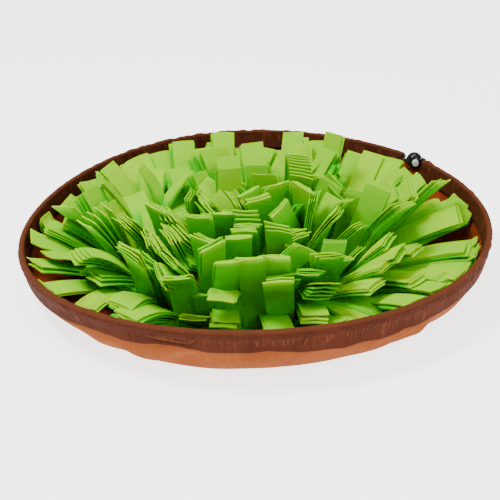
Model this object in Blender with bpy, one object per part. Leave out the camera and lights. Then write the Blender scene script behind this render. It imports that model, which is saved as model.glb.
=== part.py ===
"""A snuffle mat: a round cloth bowl with a drawstring rim, filled with felt leaves.

Metres, +Z up. The origin is the middle of the round base, on the floor. The cord lock is at the rear
right, at +X +Y. Azimuths are in degrees, from +X towards +Y.
"""

import math
import random
from collections import namedtuple

import bmesh
import bpy
from mathutils import Vector

# Rim of the bowl: the outer top line of the casing.
RIM_RADIUS = 0.240
RIM_HEIGHT = 0.056
Sway = namedtuple("Sway", "waves radius_cos radius_sin height_cos height_sin")
RIM_SWAYS = (
    Sway(2, -0.0013, 0.0015, -0.0016, -0.0013),
    Sway(3, -0.0006, -0.0037, 0.0013, 0.0005),
)

# Bowl: one sheet with a flat round base and a flared wall.
BASE_RADIUS = 0.200
BOWL_CLOTH = 0.0016
BASE_RINGS = (0.100,)
WALL_ROWS = 6
WALL_START_SLOPE = 36
WALL_START_PULL = 0.014
WALL_END_PULL = 0.011
TURN_IN = 0.009
Fold = namedtuple("Fold", "count depth azimuth")
WALL_FOLDS = (
    Fold(5, 0.0011, 20),
    Fold(8, 0.0012, 95),
    Fold(13, 0.0010, 210),
)

# Casing: a strip folded over the drawstring, its two edges either side of the bowl's edge.
CASING_CLOTH = 0.0012
CASING_HEIGHT = 0.023
CASING_LEAN = 0.0034
TUNNEL_RADIUS = 0.0021
NARROW_AT = 0.45
SEAM_DEPTH_WAVES = (Fold(3, 0.0008, 250), Fold(7, 0.0007, 40))
MOUTH_AZIMUTHS = (44, 34)
CASING_STATIONS = 60
MOUTH_STATIONS = 2
LAYER_GAP = 0.00035

# Drawstring and cord lock.
CORD_DIAMETER = 0.003
LOCK_AZIMUTH = 38.4
LOCK_DROP = 0.0005
LOCK_RADIUS = 0.009
LOCK_SEGMENTS = 20
LOCK_RINGS = 12
RUNNING_GAP = 0.0003
CORD_END_GAP = 0.0008
MOUTH_STRAIGHT = 0.004
LOOP_LEFT = Vector((0.0055, -0.0030, 0))
LOOP_RIGHT = Vector((0.0055, -0.0030, 0))
CORD_HOLE_RADIUS = CORD_DIAMETER / 2 + 0.0004
BUTTON_RADIUS = 0.0036
BUTTON_PROUD = 0.0036
BUTTON_TRAVEL = 0.003
BUTTON_BAR = 0.0017
BUTTON_EDGE = 0.0007
SOCKET_FLOOR = 0.0005

# Felt leaves, in stacks sewn to rings of tape. Leans are from upright, outwards.
TAPE_THICKNESS = 0.0015
REST_GAP = 0.0003
LEAF_THICKNESS = 0.0018
LEAF_GAP = 0.0014
ROOT_BEND = 0.72
TIP_BEND = 1.24
EDGE_CLEARANCE = 0.004
LOCK_BERTH = 0.018
LOCK_BERTH_ANGLE = 8
# leans: of the innermost and the outermost layer.
# sway, tilt and jitter: how much lean, side tilt and length differ from leaf to leaf.
RING_COLUMNS = "name radius stacks first_azimuth layers segments leans sway tilt width length jitter"
Ring = namedtuple("Ring", RING_COLUMNS)
RINGS = (
    Ring("fringe_outer", 0.138, 32, -85.6, 4, 3, (32, 63), 2.0, 5, 0.0240, 0.090, 0.004),
    Ring("fringe_middle", 0.094, 22, -81.0, 4, 3, (12, 41), 2.0, 4, 0.0235, 0.090, 0.004),
    Ring("fringe_inner", 0.053, 12, -98.0, 4, 2, (4, 22), 1.5, 3, 0.0225, 0.092, 0.004),
    Ring("fringe_centre", 0.022, 4, -90.0, 4, 2, (0, 11), 1.0, 2, 0.0225, 0.092, 0.003),
)
# Every second stack leans half a step further out, so that its leaves pass between those of its neighbours.
STAGGER = 0.5
LEAF_SEED = 11

TAN = (0.62, 0.31, 0.15)
DARK_BROWN = (0.085, 0.030, 0.018)
CORD_BLACK = (0.012, 0.010, 0.009)
LOCK_BLACK = (0.010, 0.010, 0.011)
BUTTON_GREY = (0.62, 0.62, 0.60)
LEAF_GREEN = (0.27, 0.62, 0.03)


def clear_scene():
    for thing in list(bpy.data.objects):
        bpy.data.objects.remove(thing, do_unlink=True)


def material(name, colour, roughness):
    finish = bpy.data.materials.new(name)
    finish.use_nodes = True
    shader = finish.node_tree.nodes["Principled BSDF"]
    shader.inputs["Base Color"].default_value = (*colour, 1)
    shader.inputs["Roughness"].default_value = roughness
    shader.inputs["Metallic"].default_value = 0
    return finish


def mesh_object(name, bm, finish):
    mesh = bpy.data.meshes.new(name)
    bm.to_mesh(mesh)
    bm.free()
    mesh.materials.append(finish)
    mesh.shade_smooth()
    mesh.set_sharp_from_angle(angle=math.radians(40))
    thing = bpy.data.objects.new(name, mesh)
    bpy.context.scene.collection.objects.link(thing)
    return thing


def polar(azimuth, radius, height):
    turn = math.radians(azimuth)
    return Vector((radius * math.cos(turn), radius * math.sin(turn), height))


def turned(azimuth, point):
    turn = math.radians(azimuth)
    return Vector(
        (
            point.x * math.cos(turn) - point.y * math.sin(turn),
            point.x * math.sin(turn) + point.y * math.cos(turn),
            point.z,
        )
    )


def rim(azimuth):
    """Radius and height of the rim, which sways a little as pulled cloth does."""
    radius, height = RIM_RADIUS, RIM_HEIGHT
    for sway in RIM_SWAYS:
        turn = math.radians(sway.waves * azimuth)
        radius += sway.radius_cos * math.cos(turn) + sway.radius_sin * math.sin(turn)
        height += sway.height_cos * math.cos(turn) + sway.height_sin * math.sin(turn)
    return radius, height


def waves(folds, azimuth):
    total = 0
    for fold in folds:
        total += fold.depth * math.cos(math.radians(fold.count * (azimuth - fold.azimuth)))
    return total


def casing_line(azimuth, depth):
    """Radius and height on the middle line of the casing's section, this far below the drawstring."""
    arch = TUNNEL_RADIUS + CASING_CLOTH
    radius, height = rim(azimuth)
    drop = CASING_HEIGHT - arch
    return radius - arch - CASING_LEAN * depth / drop, height - arch - depth


def casing_azimuths():
    start, end = MOUTH_AZIMUTHS[0], MOUTH_AZIMUTHS[1] + 360
    return [start + (end - start) * k / CASING_STATIONS for k in range(CASING_STATIONS + 1)]


def bowl_azimuths():
    """The casing's stations and the few between its mouths, so that the two pieces run side by side."""
    end, start = MOUTH_AZIMUTHS
    between = [start + 360 + (end - start) * k / MOUTH_STATIONS for k in range(1, MOUTH_STATIONS)]
    return casing_azimuths() + between


def bezier(points, share):
    a, b, c, d = points
    rest = 1 - share
    return a * rest**3 + b * 3 * rest**2 * share + c * 3 * rest * share**2 + d * share**3


def wall_profile(azimuth):
    """The under side of the wall, from the base's edge up to the bowl's own edge inside the casing."""
    hem = CASING_HEIGHT - TUNNEL_RADIUS - CASING_CLOTH
    middle = Vector(casing_line(azimuth, hem))
    up = (Vector(casing_line(azimuth, 0)) - middle).normalized()
    out = Vector((up.y, -up.x)) * BOWL_CLOTH / 2
    slope = math.radians(WALL_START_SLOPE)
    start = Vector((BASE_RADIUS, 0))
    end = middle + out
    pulls = (start + WALL_START_PULL * Vector((math.cos(slope), math.sin(slope))), end - WALL_END_PULL * up)
    rows = []
    for k in range(1, WALL_ROWS + 1):
        share = k / WALL_ROWS
        point = bezier((start, *pulls, end), share)
        swell = waves(WALL_FOLDS, azimuth) * math.sin(math.pi * share) ** 1.5
        rows.append(point + swell * Vector((math.sin(slope), -math.cos(slope))))
    rows.append(end + TURN_IN * up)
    return rows


def bowl(finish):
    azimuths = bowl_azimuths()
    bm = bmesh.new()
    centre = bm.verts.new((0, 0, 0))
    columns = []
    for azimuth in azimuths:
        profile = [Vector((radius, 0)) for radius in (*BASE_RINGS, BASE_RADIUS)] + wall_profile(azimuth)
        columns.append([bm.verts.new(polar(azimuth, point.x, point.y)) for point in profile])
    for k, column in enumerate(columns):
        after = columns[(k + 1) % len(columns)]
        bm.faces.new((centre, column[0], after[0]))
        for row in range(len(column) - 1):
            bm.faces.new((column[row], column[row + 1], after[row + 1], after[row]))
    sheet = mesh_object("bowl", bm, finish)
    # The under side stays as modelled, flat on the floor, and the cloth's thickness goes inwards.
    thicken(sheet, BOWL_CLOTH, 1)


def thicken(sheet, thickness, offset):
    solidify = sheet.modifiers.new("cloth", "SOLIDIFY")
    solidify.thickness = thickness
    solidify.offset = offset
    solidify.use_even_offset = True


def casing_section(azimuth):
    """The folded strip from its outer hem, over the drawstring, to its inner hem: (across, depth) pairs."""
    wide = TUNNEL_RADIUS + CASING_CLOTH / 2
    narrow = BOWL_CLOTH / 2 + LAYER_GAP + CASING_CLOTH / 2
    drop = CASING_HEIGHT - TUNNEL_RADIUS - CASING_CLOTH
    hem = drop + waves(SEAM_DEPTH_WAVES, azimuth)
    section = [(narrow, hem), (narrow, NARROW_AT * drop), (wide, 0.12 * drop)]
    for turn in (30, 70, 110, 150):
        section.append((wide * math.cos(math.radians(turn)), -wide * math.sin(math.radians(turn))))
    section += [(-wide, 0.12 * drop), (-narrow, NARROW_AT * drop), (-narrow, drop)]
    return section


def casing(finish):
    bm = bmesh.new()
    strips = []
    for azimuth in casing_azimuths():
        top, low = Vector(casing_line(azimuth, 0)), Vector(casing_line(azimuth, CASING_HEIGHT))
        down = (low - top).normalized()
        out = Vector((-down.y, down.x))
        strip = []
        for across, depth in casing_section(azimuth):
            point = top + across * out + depth * down
            strip.append(bm.verts.new(polar(azimuth, point.x, point.y)))
        strips.append(strip)
    for strip, after in zip(strips, strips[1:]):
        for row in range(len(strip) - 1):
            bm.faces.new((strip[row], after[row], after[row + 1], strip[row + 1]))
    thicken(mesh_object("casing", bm, finish), CASING_CLOTH, 0)


def lock_centre():
    radius, height = casing_line(LOCK_AZIMUTH, 0)
    return polar(LOCK_AZIMUTH, radius, height - LOCK_DROP)


def along(points, steps):
    """A smooth curve through the points, with this many steps between each two."""
    curve = []
    for k in range(len(points) - 1):
        before = points[max(k - 1, 0)]
        after = points[min(k + 2, len(points) - 1)]
        here, there = points[k], points[k + 1]
        for step in range(steps):
            share = step / steps
            pull_a, pull_b = (there - before) / 6, (after - here) / 6
            curve.append(bezier((here, here + pull_a, there - pull_b, there), share))
    return curve + [points[-1]]


def cord_route():
    """From inside the lock, round through the casing from mouth to mouth, and back into the lock."""
    lock = lock_centre()
    inside = [polar(azimuth, *casing_line(azimuth, 0)) for azimuth in casing_azimuths()]
    mouths = [
        inside[0] + (inside[0] - inside[1]).normalized() * MOUTH_STRAIGHT,
        inside[-1] + (inside[-1] - inside[-2]).normalized() * MOUTH_STRAIGHT,
    ]
    hole = Vector((LOCK_RADIUS, 0, 0))
    end = Vector((CORD_END_GAP, 0, 0))
    first = along([lock - hole, lock - hole - LOOP_LEFT, mouths[0], inside[0]], 2)
    last = along([inside[-1], mouths[1], lock + hole + LOOP_RIGHT, lock + hole], 2)
    return [lock - end] + first[:-2] + inside + last[2:] + [lock + end]


def drawstring(finish):
    curve = bpy.data.curves.new("drawstring", "CURVE")
    curve.dimensions = "3D"
    curve.bevel_depth = CORD_DIAMETER / 2
    curve.bevel_resolution = 2
    curve.use_fill_caps = True
    route = cord_route()
    spline = curve.splines.new("POLY")
    spline.points.add(len(route) - 1)
    for point, place in zip(spline.points, route):
        point.co = (*place, 1)
    curve.materials.append(finish)
    bpy.context.scene.collection.objects.link(bpy.data.objects.new("drawstring", curve))


def cylinder(name, radius, start, end, axis, finish, segments=20):
    """A cylinder along an axis, from start to end."""
    bm = bmesh.new()
    bmesh.ops.create_cone(
        bm, cap_ends=True, segments=segments, radius1=radius, radius2=radius, depth=end - start
    )
    turn = Vector((0, 0, 1)).rotation_difference(axis).to_matrix()
    bmesh.ops.rotate(bm, verts=bm.verts, matrix=turn)
    bmesh.ops.translate(bm, verts=bm.verts, vec=axis * (start + end) / 2)
    return mesh_object(name, bm, finish)


def cut(thing, cutter):
    cutter.hide_render = True
    cutter.display_type = "WIRE"
    cutter.location = thing.location
    boolean = thing.modifiers.new(cutter.name, "BOOLEAN")
    boolean.operation = "DIFFERENCE"
    boolean.object = cutter


def cord_lock(ball_finish, button_finish):
    """A round cord lock: the button slides in along +Y, and the drawstring crosses both along X.

    The button's own slot is longer than the cord is wide, and the bar behind the slot grips the cord.
    """
    across, push = Vector((1, 0, 0)), Vector((0, 1, 0))
    front = -LOCK_RADIUS - BUTTON_PROUD
    slot_half = CORD_DIAMETER / 2 + RUNNING_GAP
    button_back = slot_half + BUTTON_BAR
    socket_end = button_back + BUTTON_TRAVEL + SOCKET_FLOOR

    bm = bmesh.new()
    bmesh.ops.create_uvsphere(bm, u_segments=LOCK_SEGMENTS, v_segments=LOCK_RINGS, radius=LOCK_RADIUS)
    bmesh.ops.rotate(bm, verts=bm.verts, matrix=Vector((0, 0, 1)).rotation_difference(push).to_matrix())
    ball = mesh_object("cord_lock_body", bm, ball_finish)
    ball.location = lock_centre()
    cut(ball, cylinder("socket_cutter", BUTTON_RADIUS + RUNNING_GAP, front, socket_end, push, ball_finish))
    cord_ends = 2 * LOCK_RADIUS
    cut(ball, cylinder("cord_cutter", CORD_HOLE_RADIUS, -cord_ends, cord_ends, across, ball_finish, 12))

    button = cylinder("cord_lock_button", BUTTON_RADIUS, front, button_back, push, button_finish)
    button.location = lock_centre()
    bevel = button.modifiers.new("edge", "BEVEL")
    bevel.width = BUTTON_EDGE
    bevel.segments = 2
    bevel.limit_method = "ANGLE"
    slot_length = BUTTON_TRAVEL + 2 * slot_half
    bm = bmesh.new()
    bmesh.ops.create_cube(bm, size=1)
    bmesh.ops.scale(bm, verts=bm.verts, vec=(4 * BUTTON_RADIUS, slot_length, 2 * slot_half))
    bmesh.ops.translate(bm, verts=bm.verts, vec=(0, slot_half - slot_length / 2, 0))
    cut(button, mesh_object("slot_cutter", bm, button_finish))


def reach(azimuth):
    """How far out a leaf may go: short of the casing, and shorter still beside the cord lock."""
    radius = rim(azimuth)[0] - 2 * (TUNNEL_RADIUS + CASING_CLOTH) - EDGE_CLEARANCE
    if abs((azimuth - LOCK_AZIMUTH + 180) % 360 - 180) < LOCK_BERTH_ANGLE:
        radius -= LOCK_BERTH
    return radius


def leaf_line(azimuth, root, lean, length, segments):
    """The middle line of a leaf, from its root on the tape: (run, out, up, heading) at each section."""
    step = (TIP_BEND - ROOT_BEND) / segments
    headings = [math.radians(lean * (ROOT_BEND + step * (k + 0.5))) for k in range(segments)]
    spread = sum(math.sin(heading) for heading in headings) / segments
    if spread > 0:
        length = min(length, (reach(azimuth) - root) / spread)
    run, out, up, line = 0, root, 0, []
    for k, heading in enumerate(headings):
        run += length / segments
        out += length / segments * math.sin(heading)
        up += length / segments * math.cos(heading)
        onward = headings[min(k + 1, segments - 1)]
        line.append((run, out, up, (heading + onward) / 2))
    return line


def grow_leaf(bm, root_face, azimuth, line, tilt, width, tape_top):
    """Draws a leaf out of its root, section by section, and closes it with a square cut end."""
    corners = [bm.verts[index] for index in root_face]
    for run, out, up, heading in line:
        onward = Vector((math.sin(heading), 0, math.cos(heading)))
        through = Vector((math.cos(heading), 0, -math.sin(heading))) * LEAF_THICKNESS / 2
        across = Vector((0, math.cos(tilt), 0)) - onward * math.sin(tilt)
        middle = Vector((out, run * math.sin(tilt), tape_top + up))
        section = []
        for side, face in ((-1, -1), (-1, 1), (1, 1), (1, -1)):
            point = middle + across * side * width / 2 + through * face
            section.append(bm.verts.new(turned(azimuth, point)))
        for k in range(4):
            after = (k + 1) % 4
            bm.faces.new((corners[k], corners[after], section[after], section[k]))
        corners = section
    bm.faces.new(corners)


def fringe(ring, finish):
    """A ring of tape with its stacks of leaves. Each stack is a block of the tape, joined to the next."""
    draw = random.Random(f"{LEAF_SEED} {ring.name}")
    tape_low = BOWL_CLOTH + REST_GAP
    tape_top = tape_low + TAPE_THICKNESS
    pitch = LEAF_THICKNESS + LEAF_GAP
    inner = ring.radius - (pitch * (ring.layers - 1) + LEAF_THICKNESS) / 2
    edges = [inner + k * pitch + face * LEAF_THICKNESS for k in range(ring.layers) for face in (0, 1)]
    bm = bmesh.new()
    blocks = []
    for stack in range(ring.stacks):
        azimuth = ring.first_azimuth + 360 * stack / ring.stacks
        block = {}
        for side in (-1, 1):
            for row, edge in enumerate(edges):
                point = Vector((edge, side * ring.width / 2, tape_top))
                block[side, row] = bm.verts.new(turned(azimuth, point))
            for row in (0, len(edges) - 1):
                point = Vector((edges[row], side * ring.width / 2, tape_low))
                block[side, row, "low"] = bm.verts.new(turned(azimuth, point))
        blocks.append((azimuth, block))
    bm.verts.index_update()
    bm.verts.ensure_lookup_table()
    last = len(edges) - 1
    leaves = []
    for k, (azimuth, block) in enumerate(blocks):
        after = blocks[(k + 1) % len(blocks)][1]
        for row in range(last):
            quad = (block[-1, row], block[-1, row + 1], block[1, row + 1], block[1, row])
            if row % 2:
                bm.faces.new(quad)
            else:
                leaves.append((azimuth, row, [vert.index for vert in quad]))
            bm.faces.new((block[1, row], block[1, row + 1], after[-1, row + 1], after[-1, row]))
        for near, far in (((block, -1), (block, 1)), ((block, 1), (after, -1))):
            (a, s), (b, t) = near, far
            bm.faces.new((a[s, 0, "low"], b[t, 0, "low"], b[t, last, "low"], a[s, last, "low"]))
            bm.faces.new((a[s, 0, "low"], a[s, 0], b[t, 0], b[t, 0, "low"]))
            bm.faces.new((a[s, last], a[s, last, "low"], b[t, last, "low"], b[t, last]))
    step = (ring.leans[1] - ring.leans[0]) / (ring.layers - 1)
    habits = {}
    for azimuth, row, root_face in leaves:
        if azimuth not in habits:
            shift = STAGGER * step * (len(habits) % 2)
            habits[azimuth] = (
                shift + draw.uniform(-ring.sway, ring.sway),
                draw.uniform(-ring.tilt, ring.tilt),
            )
        sway, tilt = habits[azimuth]
        layer = row // 2
        tilt += draw.uniform(-ring.tilt, ring.tilt) / 2
        length = ring.length + draw.uniform(-ring.jitter, ring.jitter)
        root = (edges[row] + edges[row + 1]) / 2
        line = leaf_line(azimuth, root, ring.leans[0] + layer * step + sway, length, ring.segments)
        bm.verts.ensure_lookup_table()
        grow_leaf(bm, root_face, azimuth, line, math.radians(tilt), ring.width, tape_top)
    mesh_object(ring.name, bm, finish)


def main():
    clear_scene()
    bowl(material("tan_cloth", TAN, 0.85))
    casing(material("dark_brown_cloth", DARK_BROWN, 0.7))
    drawstring(material("cord", CORD_BLACK, 0.8))
    cord_lock(material("black_plastic", LOCK_BLACK, 0.25), material("grey_plastic", BUTTON_GREY, 0.3))
    felt = material("green_felt", LEAF_GREEN, 0.95)
    for ring in RINGS:
        fringe(ring, felt)


main()
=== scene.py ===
# %% [markdown]
# # A snuffle mat, dressed in Blender
#
# A snuffle mat is a shallow cloth bowl that is packed with felt leaves. Dry food is dropped between the
# leaves, and a dog or cat sniffs it out. A drawstring in the rim pulls the mat up into its bowl shape.
#
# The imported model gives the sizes. Each cell below makes one piece or one finish on top of it, in metres,
# with +Z up and the origin at the middle of the base. Azimuths are in degrees from +X towards +Y.

import math
import random
from collections import namedtuple

import bmesh
import bpy
import numpy as np
from mathutils import Matrix, Vector
from mathutils.bvhtree import BVHTree


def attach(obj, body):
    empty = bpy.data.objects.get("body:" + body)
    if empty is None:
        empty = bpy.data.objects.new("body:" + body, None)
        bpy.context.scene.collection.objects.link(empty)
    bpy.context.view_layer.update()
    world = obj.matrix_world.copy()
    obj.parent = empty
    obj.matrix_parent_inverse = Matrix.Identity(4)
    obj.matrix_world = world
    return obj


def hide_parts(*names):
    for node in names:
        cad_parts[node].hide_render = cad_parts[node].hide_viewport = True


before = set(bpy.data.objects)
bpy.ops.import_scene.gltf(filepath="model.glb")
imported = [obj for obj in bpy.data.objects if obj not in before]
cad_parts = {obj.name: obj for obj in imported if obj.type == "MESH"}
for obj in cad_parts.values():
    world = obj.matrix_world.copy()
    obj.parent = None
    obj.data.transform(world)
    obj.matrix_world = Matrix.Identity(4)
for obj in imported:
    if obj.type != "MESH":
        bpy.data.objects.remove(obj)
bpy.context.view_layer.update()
print("nodes:", ", ".join(sorted(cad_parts)))

# %% [markdown]
# ## The camera
#
# The mat is seen from the front and a little above. A lens is easier to reason about in picture units: its
# focal length, measured in the width of the picture, fixes how strongly the near rim grows. The small roll
# and shift place the mat in the frame. Depth of field stays off.

# %% Camera
PICTURE = 500
FOCAL_LENGTH = 1154.1
PICTURE_CENTRE = (256.1, 237.5)
CAMERA_HEIGHT_ANGLE = math.radians(26.27)
CAMERA_ROLL = math.radians(-1.94)
CAMERA_DISTANCE = 1.2
AIM = Vector((0, 0, 0.03))


def linked(name, data):
    """A new object in the scene, with this data in it."""
    thing = bpy.data.objects.new(name, data)
    bpy.context.scene.collection.objects.link(thing)
    return thing


lens = bpy.data.cameras.new("camera")
lens.sensor_width = 36
lens.lens = lens.sensor_width * FOCAL_LENGTH / PICTURE
lens.shift_x = (PICTURE / 2 - PICTURE_CENTRE[0]) / PICTURE
lens.shift_y = (PICTURE_CENTRE[1] - PICTURE / 2) / PICTURE
camera = linked("camera", lens)
bpy.context.scene.camera = camera

back = Vector((0, -math.cos(CAMERA_HEIGHT_ANGLE), math.sin(CAMERA_HEIGHT_ANGLE)))
up = Vector((0, math.sin(CAMERA_HEIGHT_ANGLE), math.cos(CAMERA_HEIGHT_ANGLE)))
turn = Matrix.Rotation(CAMERA_ROLL, 3, back)
axes = Matrix((turn @ Vector((1, 0, 0)), turn @ up, back)).transposed()
camera.matrix_world = Matrix.Translation(AIM + CAMERA_DISTANCE * back) @ axes.to_4x4()
print("lens:", round(lens.lens, 1), "mm")

# %% [markdown]
# ## Helpers for materials
#
# A finish is a node tree, and writing one out by hand is long. `Finish` keeps the tree and adds a node in
# one call: settings by name, and inputs as numbers, colours or the sockets of other nodes.


# %% Node helpers
def socket(inputs, key):
    """An input by its place or by its name, among those that are switched on."""
    if isinstance(key, int):
        return inputs[key]
    return next(entry for entry in inputs if entry.name == key and entry.enabled)


def add_node(tree, kind, settings, inputs):
    """Adds a node, sets its properties, and fills its inputs with values or links."""
    node = tree.nodes.new(kind)
    for name, value in settings.items():
        setattr(node, name, value)
    for key, value in inputs.items():
        entry = socket(node.inputs, key)
        if isinstance(value, bpy.types.NodeSocket):
            tree.links.new(value, entry)
        else:
            entry.default_value = value
    return node


def result(tree, kind, inputs, **settings):
    """Adds a node and returns its first output."""
    return add_node(tree, kind, settings, inputs).outputs[0]


def calculate(tree, operation, *values):
    """What a Math node makes of its values."""
    return result(tree, "ShaderNodeMath", dict(enumerate(values)), operation=operation)


class Finish:
    """A material with a Principled shader, whose pattern nodes are added one call at a time."""

    def __init__(self, name, **shader):
        self.material = bpy.data.materials.new(name)
        self.material.use_nodes = True
        self.tree = self.material.node_tree
        self.shader = self.tree.nodes["Principled BSDF"]
        for key, value in shader.items():
            self.shader.inputs[key.replace("_", " ")].default_value = value

    def node(self, kind, inputs, **settings):
        return add_node(self.tree, "ShaderNode" + kind, settings, inputs)

    def attribute(self, name):
        return self.node("Attribute", {}, attribute_name=name).outputs["Fac"]

    def map(self):
        return self.node("UVMap", {}, uv_map="cloth").outputs["UV"]

    def place(self):
        return self.node("TexCoord", {}).outputs["Object"]

    def scaled(self, vector, scale):
        return self.node("Mapping", {"Vector": vector, "Scale": scale}).outputs[0]

    def math(self, operation, *values):
        return calculate(self.tree, operation, *values)

    def noise(self, vector, scale, detail=2, roughness=0.5):
        inputs = {"Vector": vector, "Scale": scale, "Detail": detail, "Roughness": roughness}
        return self.node("TexNoise", inputs).outputs["Fac"]

    def ramp(self, value, low, high, start=0, end=1):
        inputs = {"Value": value, "From Min": low, "From Max": high, "To Min": start, "To Max": end}
        return self.node("MapRange", inputs).outputs["Result"]

    def mix(self, share, first, second):
        node = self.node("Mix", {}, data_type="RGBA")
        for index, value in ((0, share), (6, first), (7, second)):
            if isinstance(value, bpy.types.NodeSocket):
                self.tree.links.new(value, node.inputs[index])
            elif index:
                node.inputs[index].default_value = (*value, 1)
            else:
                node.inputs[index].default_value = value
        return node.outputs[2]

    def colour(self, value):
        self.tree.links.new(value, self.shader.inputs["Base Color"])

    def roughness(self, value):
        self.tree.links.new(value, self.shader.inputs["Roughness"])

    def relief(self, *layers):
        """Stacks bumps, each a (height, depth in metres) pair."""
        normal = None
        for height, depth in layers:
            inputs = {"Height": height, "Distance": depth, "Strength": 1}
            if normal is not None:
                inputs["Normal"] = normal
            normal = self.node("Bump", inputs).outputs["Normal"]
        self.tree.links.new(normal, self.shader.inputs["Normal"])


# %% [markdown]
# ## Cloth finishes
#
# The bowl and the casing are plain-woven polyester. A plain weave is two crossed sets of threads, so two
# wave patterns at right angles give its grain: where one thread is on top the other dips. The map is in
# metres along the threads, so the weave has its real pitch on every piece. Slow noise on top gives the
# uneven dye and the soft sheen streaks of pulled cloth.

# %% Woven cloth
THREAD_PITCH = 0.0007
WEAVE_DEPTH = 0.00008


def weave(finish):
    """Height of a plain weave, from two crossed waves."""
    waves = []
    for direction in ("X", "Y"):
        inputs = {"Vector": finish.map(), "Scale": 1 / THREAD_PITCH / 20 * math.pi, "Distortion": 0.3}
        settings = {"wave_type": "BANDS", "bands_direction": direction, "wave_profile": "SIN"}
        waves.append(finish.node("TexWave", inputs, **settings).outputs["Fac"])
    return finish.math("MULTIPLY", *waves)


def woven(name, colour, deep, roughness, sheen, creasing):
    """Plain-woven cloth in one colour, darker between the threads and in its slow cloudy patches."""
    tint = (*[min(1, 4 * part) for part in colour], 1)
    look = {"Sheen_Weight": sheen, "Sheen_Roughness": 0.4, "Sheen_Tint": tint, "Specular_IOR_Level": 0.08}
    finish = Finish(name, Roughness=roughness, **look)
    threads = weave(finish)
    clouds = finish.noise(finish.place(), 38, 4, 0.6)
    streaks = finish.noise(finish.scaled(finish.map(), (420, 45, 1)), 1, 3)
    tone = finish.math("ADD", finish.math("MULTIPLY", clouds, 0.6), finish.math("MULTIPLY", streaks, 0.4))
    base = finish.mix(finish.ramp(tone, 0.34, 0.66), deep, colour)
    finish.colour(finish.mix(finish.ramp(threads, 0, 0.5, 0.14, 0), base, deep))
    finish.roughness(finish.ramp(tone, 0.3, 0.7, roughness + 0.08, roughness - 0.08))
    finish.relief((threads, WEAVE_DEPTH), (streaks, creasing), (clouds, 0.0012))
    return finish


brown_cloth = woven("brown cloth", (0.083, 0.0178, 0.0053), (0.045, 0.0090, 0.0028), 0.8, 0.05, 0.0007)
tan_cloth = woven("tan cloth", (0.232, 0.0580, 0.0115), (0.175, 0.0400, 0.0075), 0.85, 0.04, 0.0006)

# The fold over the drawstring and the ridges of the gathers get a painted highlight, and the creases between
# them get painted shade. The attribute `crest` is 1 on a full ridge and -1 in a full crease.
RIDGE_HIGHLIGHT = (0.260, 0.084, 0.036)
CREASE_SHADE = (0.036, 0.0080, 0.0030)
plain_brown = brown_cloth.shader.inputs["Base Color"].links[0].from_socket
highlight_share = brown_cloth.ramp(brown_cloth.attribute("crest"), 0, 1, 0, 0.60)
shade_share = brown_cloth.ramp(brown_cloth.attribute("crest"), 0, -1, 0, 0.85)
brown_cloth.colour(brown_cloth.mix(shade_share, brown_cloth.mix(highlight_share, plain_brown, RIDGE_HIGHLIGHT), CREASE_SHADE))
print("cloth finishes:", brown_cloth.material.name, "and", tan_cloth.material.name)

# %% [markdown]
# The bowl's cloth is dyed, and its inner face shows a redder, deeper tone. One sheet has both faces, so the
# finish reads an attribute, `inner`, that is 1 on the faces that look into the bowl.

# %% Inner face of the bowl's cloth
RUST = (0.300, 0.0480, 0.0100)
RUST_DEEP = (0.150, 0.0230, 0.0060)

outer_tone = tan_cloth.shader.inputs["Base Color"].links[0].from_socket
rust_clouds = tan_cloth.noise(tan_cloth.place(), 30, 3)
rust = tan_cloth.mix(tan_cloth.ramp(rust_clouds, 0.35, 0.65), RUST_DEEP, RUST)
tan_cloth.colour(tan_cloth.mix(tan_cloth.attribute("inner"), outer_tone, rust))

# %% [markdown]
# ## The felt
#
# Pressed felt has no threads. It is a mat of fibres, with a fine random grain and a fuzz that catches light
# at its edge. The cut edges get a painted highlight. Each leaf carries four attributes: `across` runs from
# -1 to 1 over its width, `along` is the distance from its root, `tint` is one random number per leaf, and
# `open` says how much of the sky a place sees. Shade is painted from `open`: buried places, which see little
# sky, are painted a purer, darker green than open ones, as light that reaches the depths has met green felt
# on its way. A little subsurface light makes the thin leaves glow green where light comes through.

# %% Felt
LEAF_LIT = (0.330, 0.665, 0.0004)
LEAF_DEEP = (0.258, 0.630, 0.0004)
# the painted shade colour of buried places
LEAF_PAINTED_SHADE = (0.050, 0.540, 0.0005)
# paler flecks of the fibres, and the painted highlight on cut edges
LEAF_FLECK_AND_EDGE_HIGHLIGHT = (0.410, 0.780, 0.0060)

fuzz = {"Sheen_Weight": 0.05, "Sheen_Roughness": 0.6, "Sheen_Tint": (0.3, 1, 0, 1)}
glow = {"Subsurface_Weight": 0.35, "Subsurface_Radius": (0.3, 1.0, 0.1), "Subsurface_Scale": 0.003}
felt = Finish("green felt", Roughness=1, Specular_IOR_Level=0, **fuzz, **glow)
fibres = felt.noise(felt.place(), 900, 3, 0.7)
matting = felt.noise(felt.place(), 160, 3, 0.6)
half_matting = felt.math("MULTIPLY", matting, 0.5)
tone = felt.math("ADD", half_matting, felt.math("MULTIPLY", felt.attribute("tint"), 0.5))
body_tone = felt.mix(felt.ramp(tone, 0.33, 0.67), LEAF_DEEP, LEAF_LIT)
speckled = felt.mix(felt.ramp(fibres, 0.56, 0.72, 0, 0.35), body_tone, LEAF_FLECK_AND_EDGE_HIGHLIGHT)
# Painted highlight along the cut sides and the tip of each leaf.
side_edge_highlight = felt.ramp(felt.math("ABSOLUTE", felt.attribute("across")), 0.965, 0.99)
tip_edge_highlight = felt.ramp(felt.attribute("along"), 0.988, 0.997)
cut = felt.math("MULTIPLY", felt.math("MAXIMUM", side_edge_highlight, tip_edge_highlight), 0.45)
edge_highlighted = felt.mix(cut, speckled, LEAF_FLECK_AND_EDGE_HIGHLIGHT)
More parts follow.
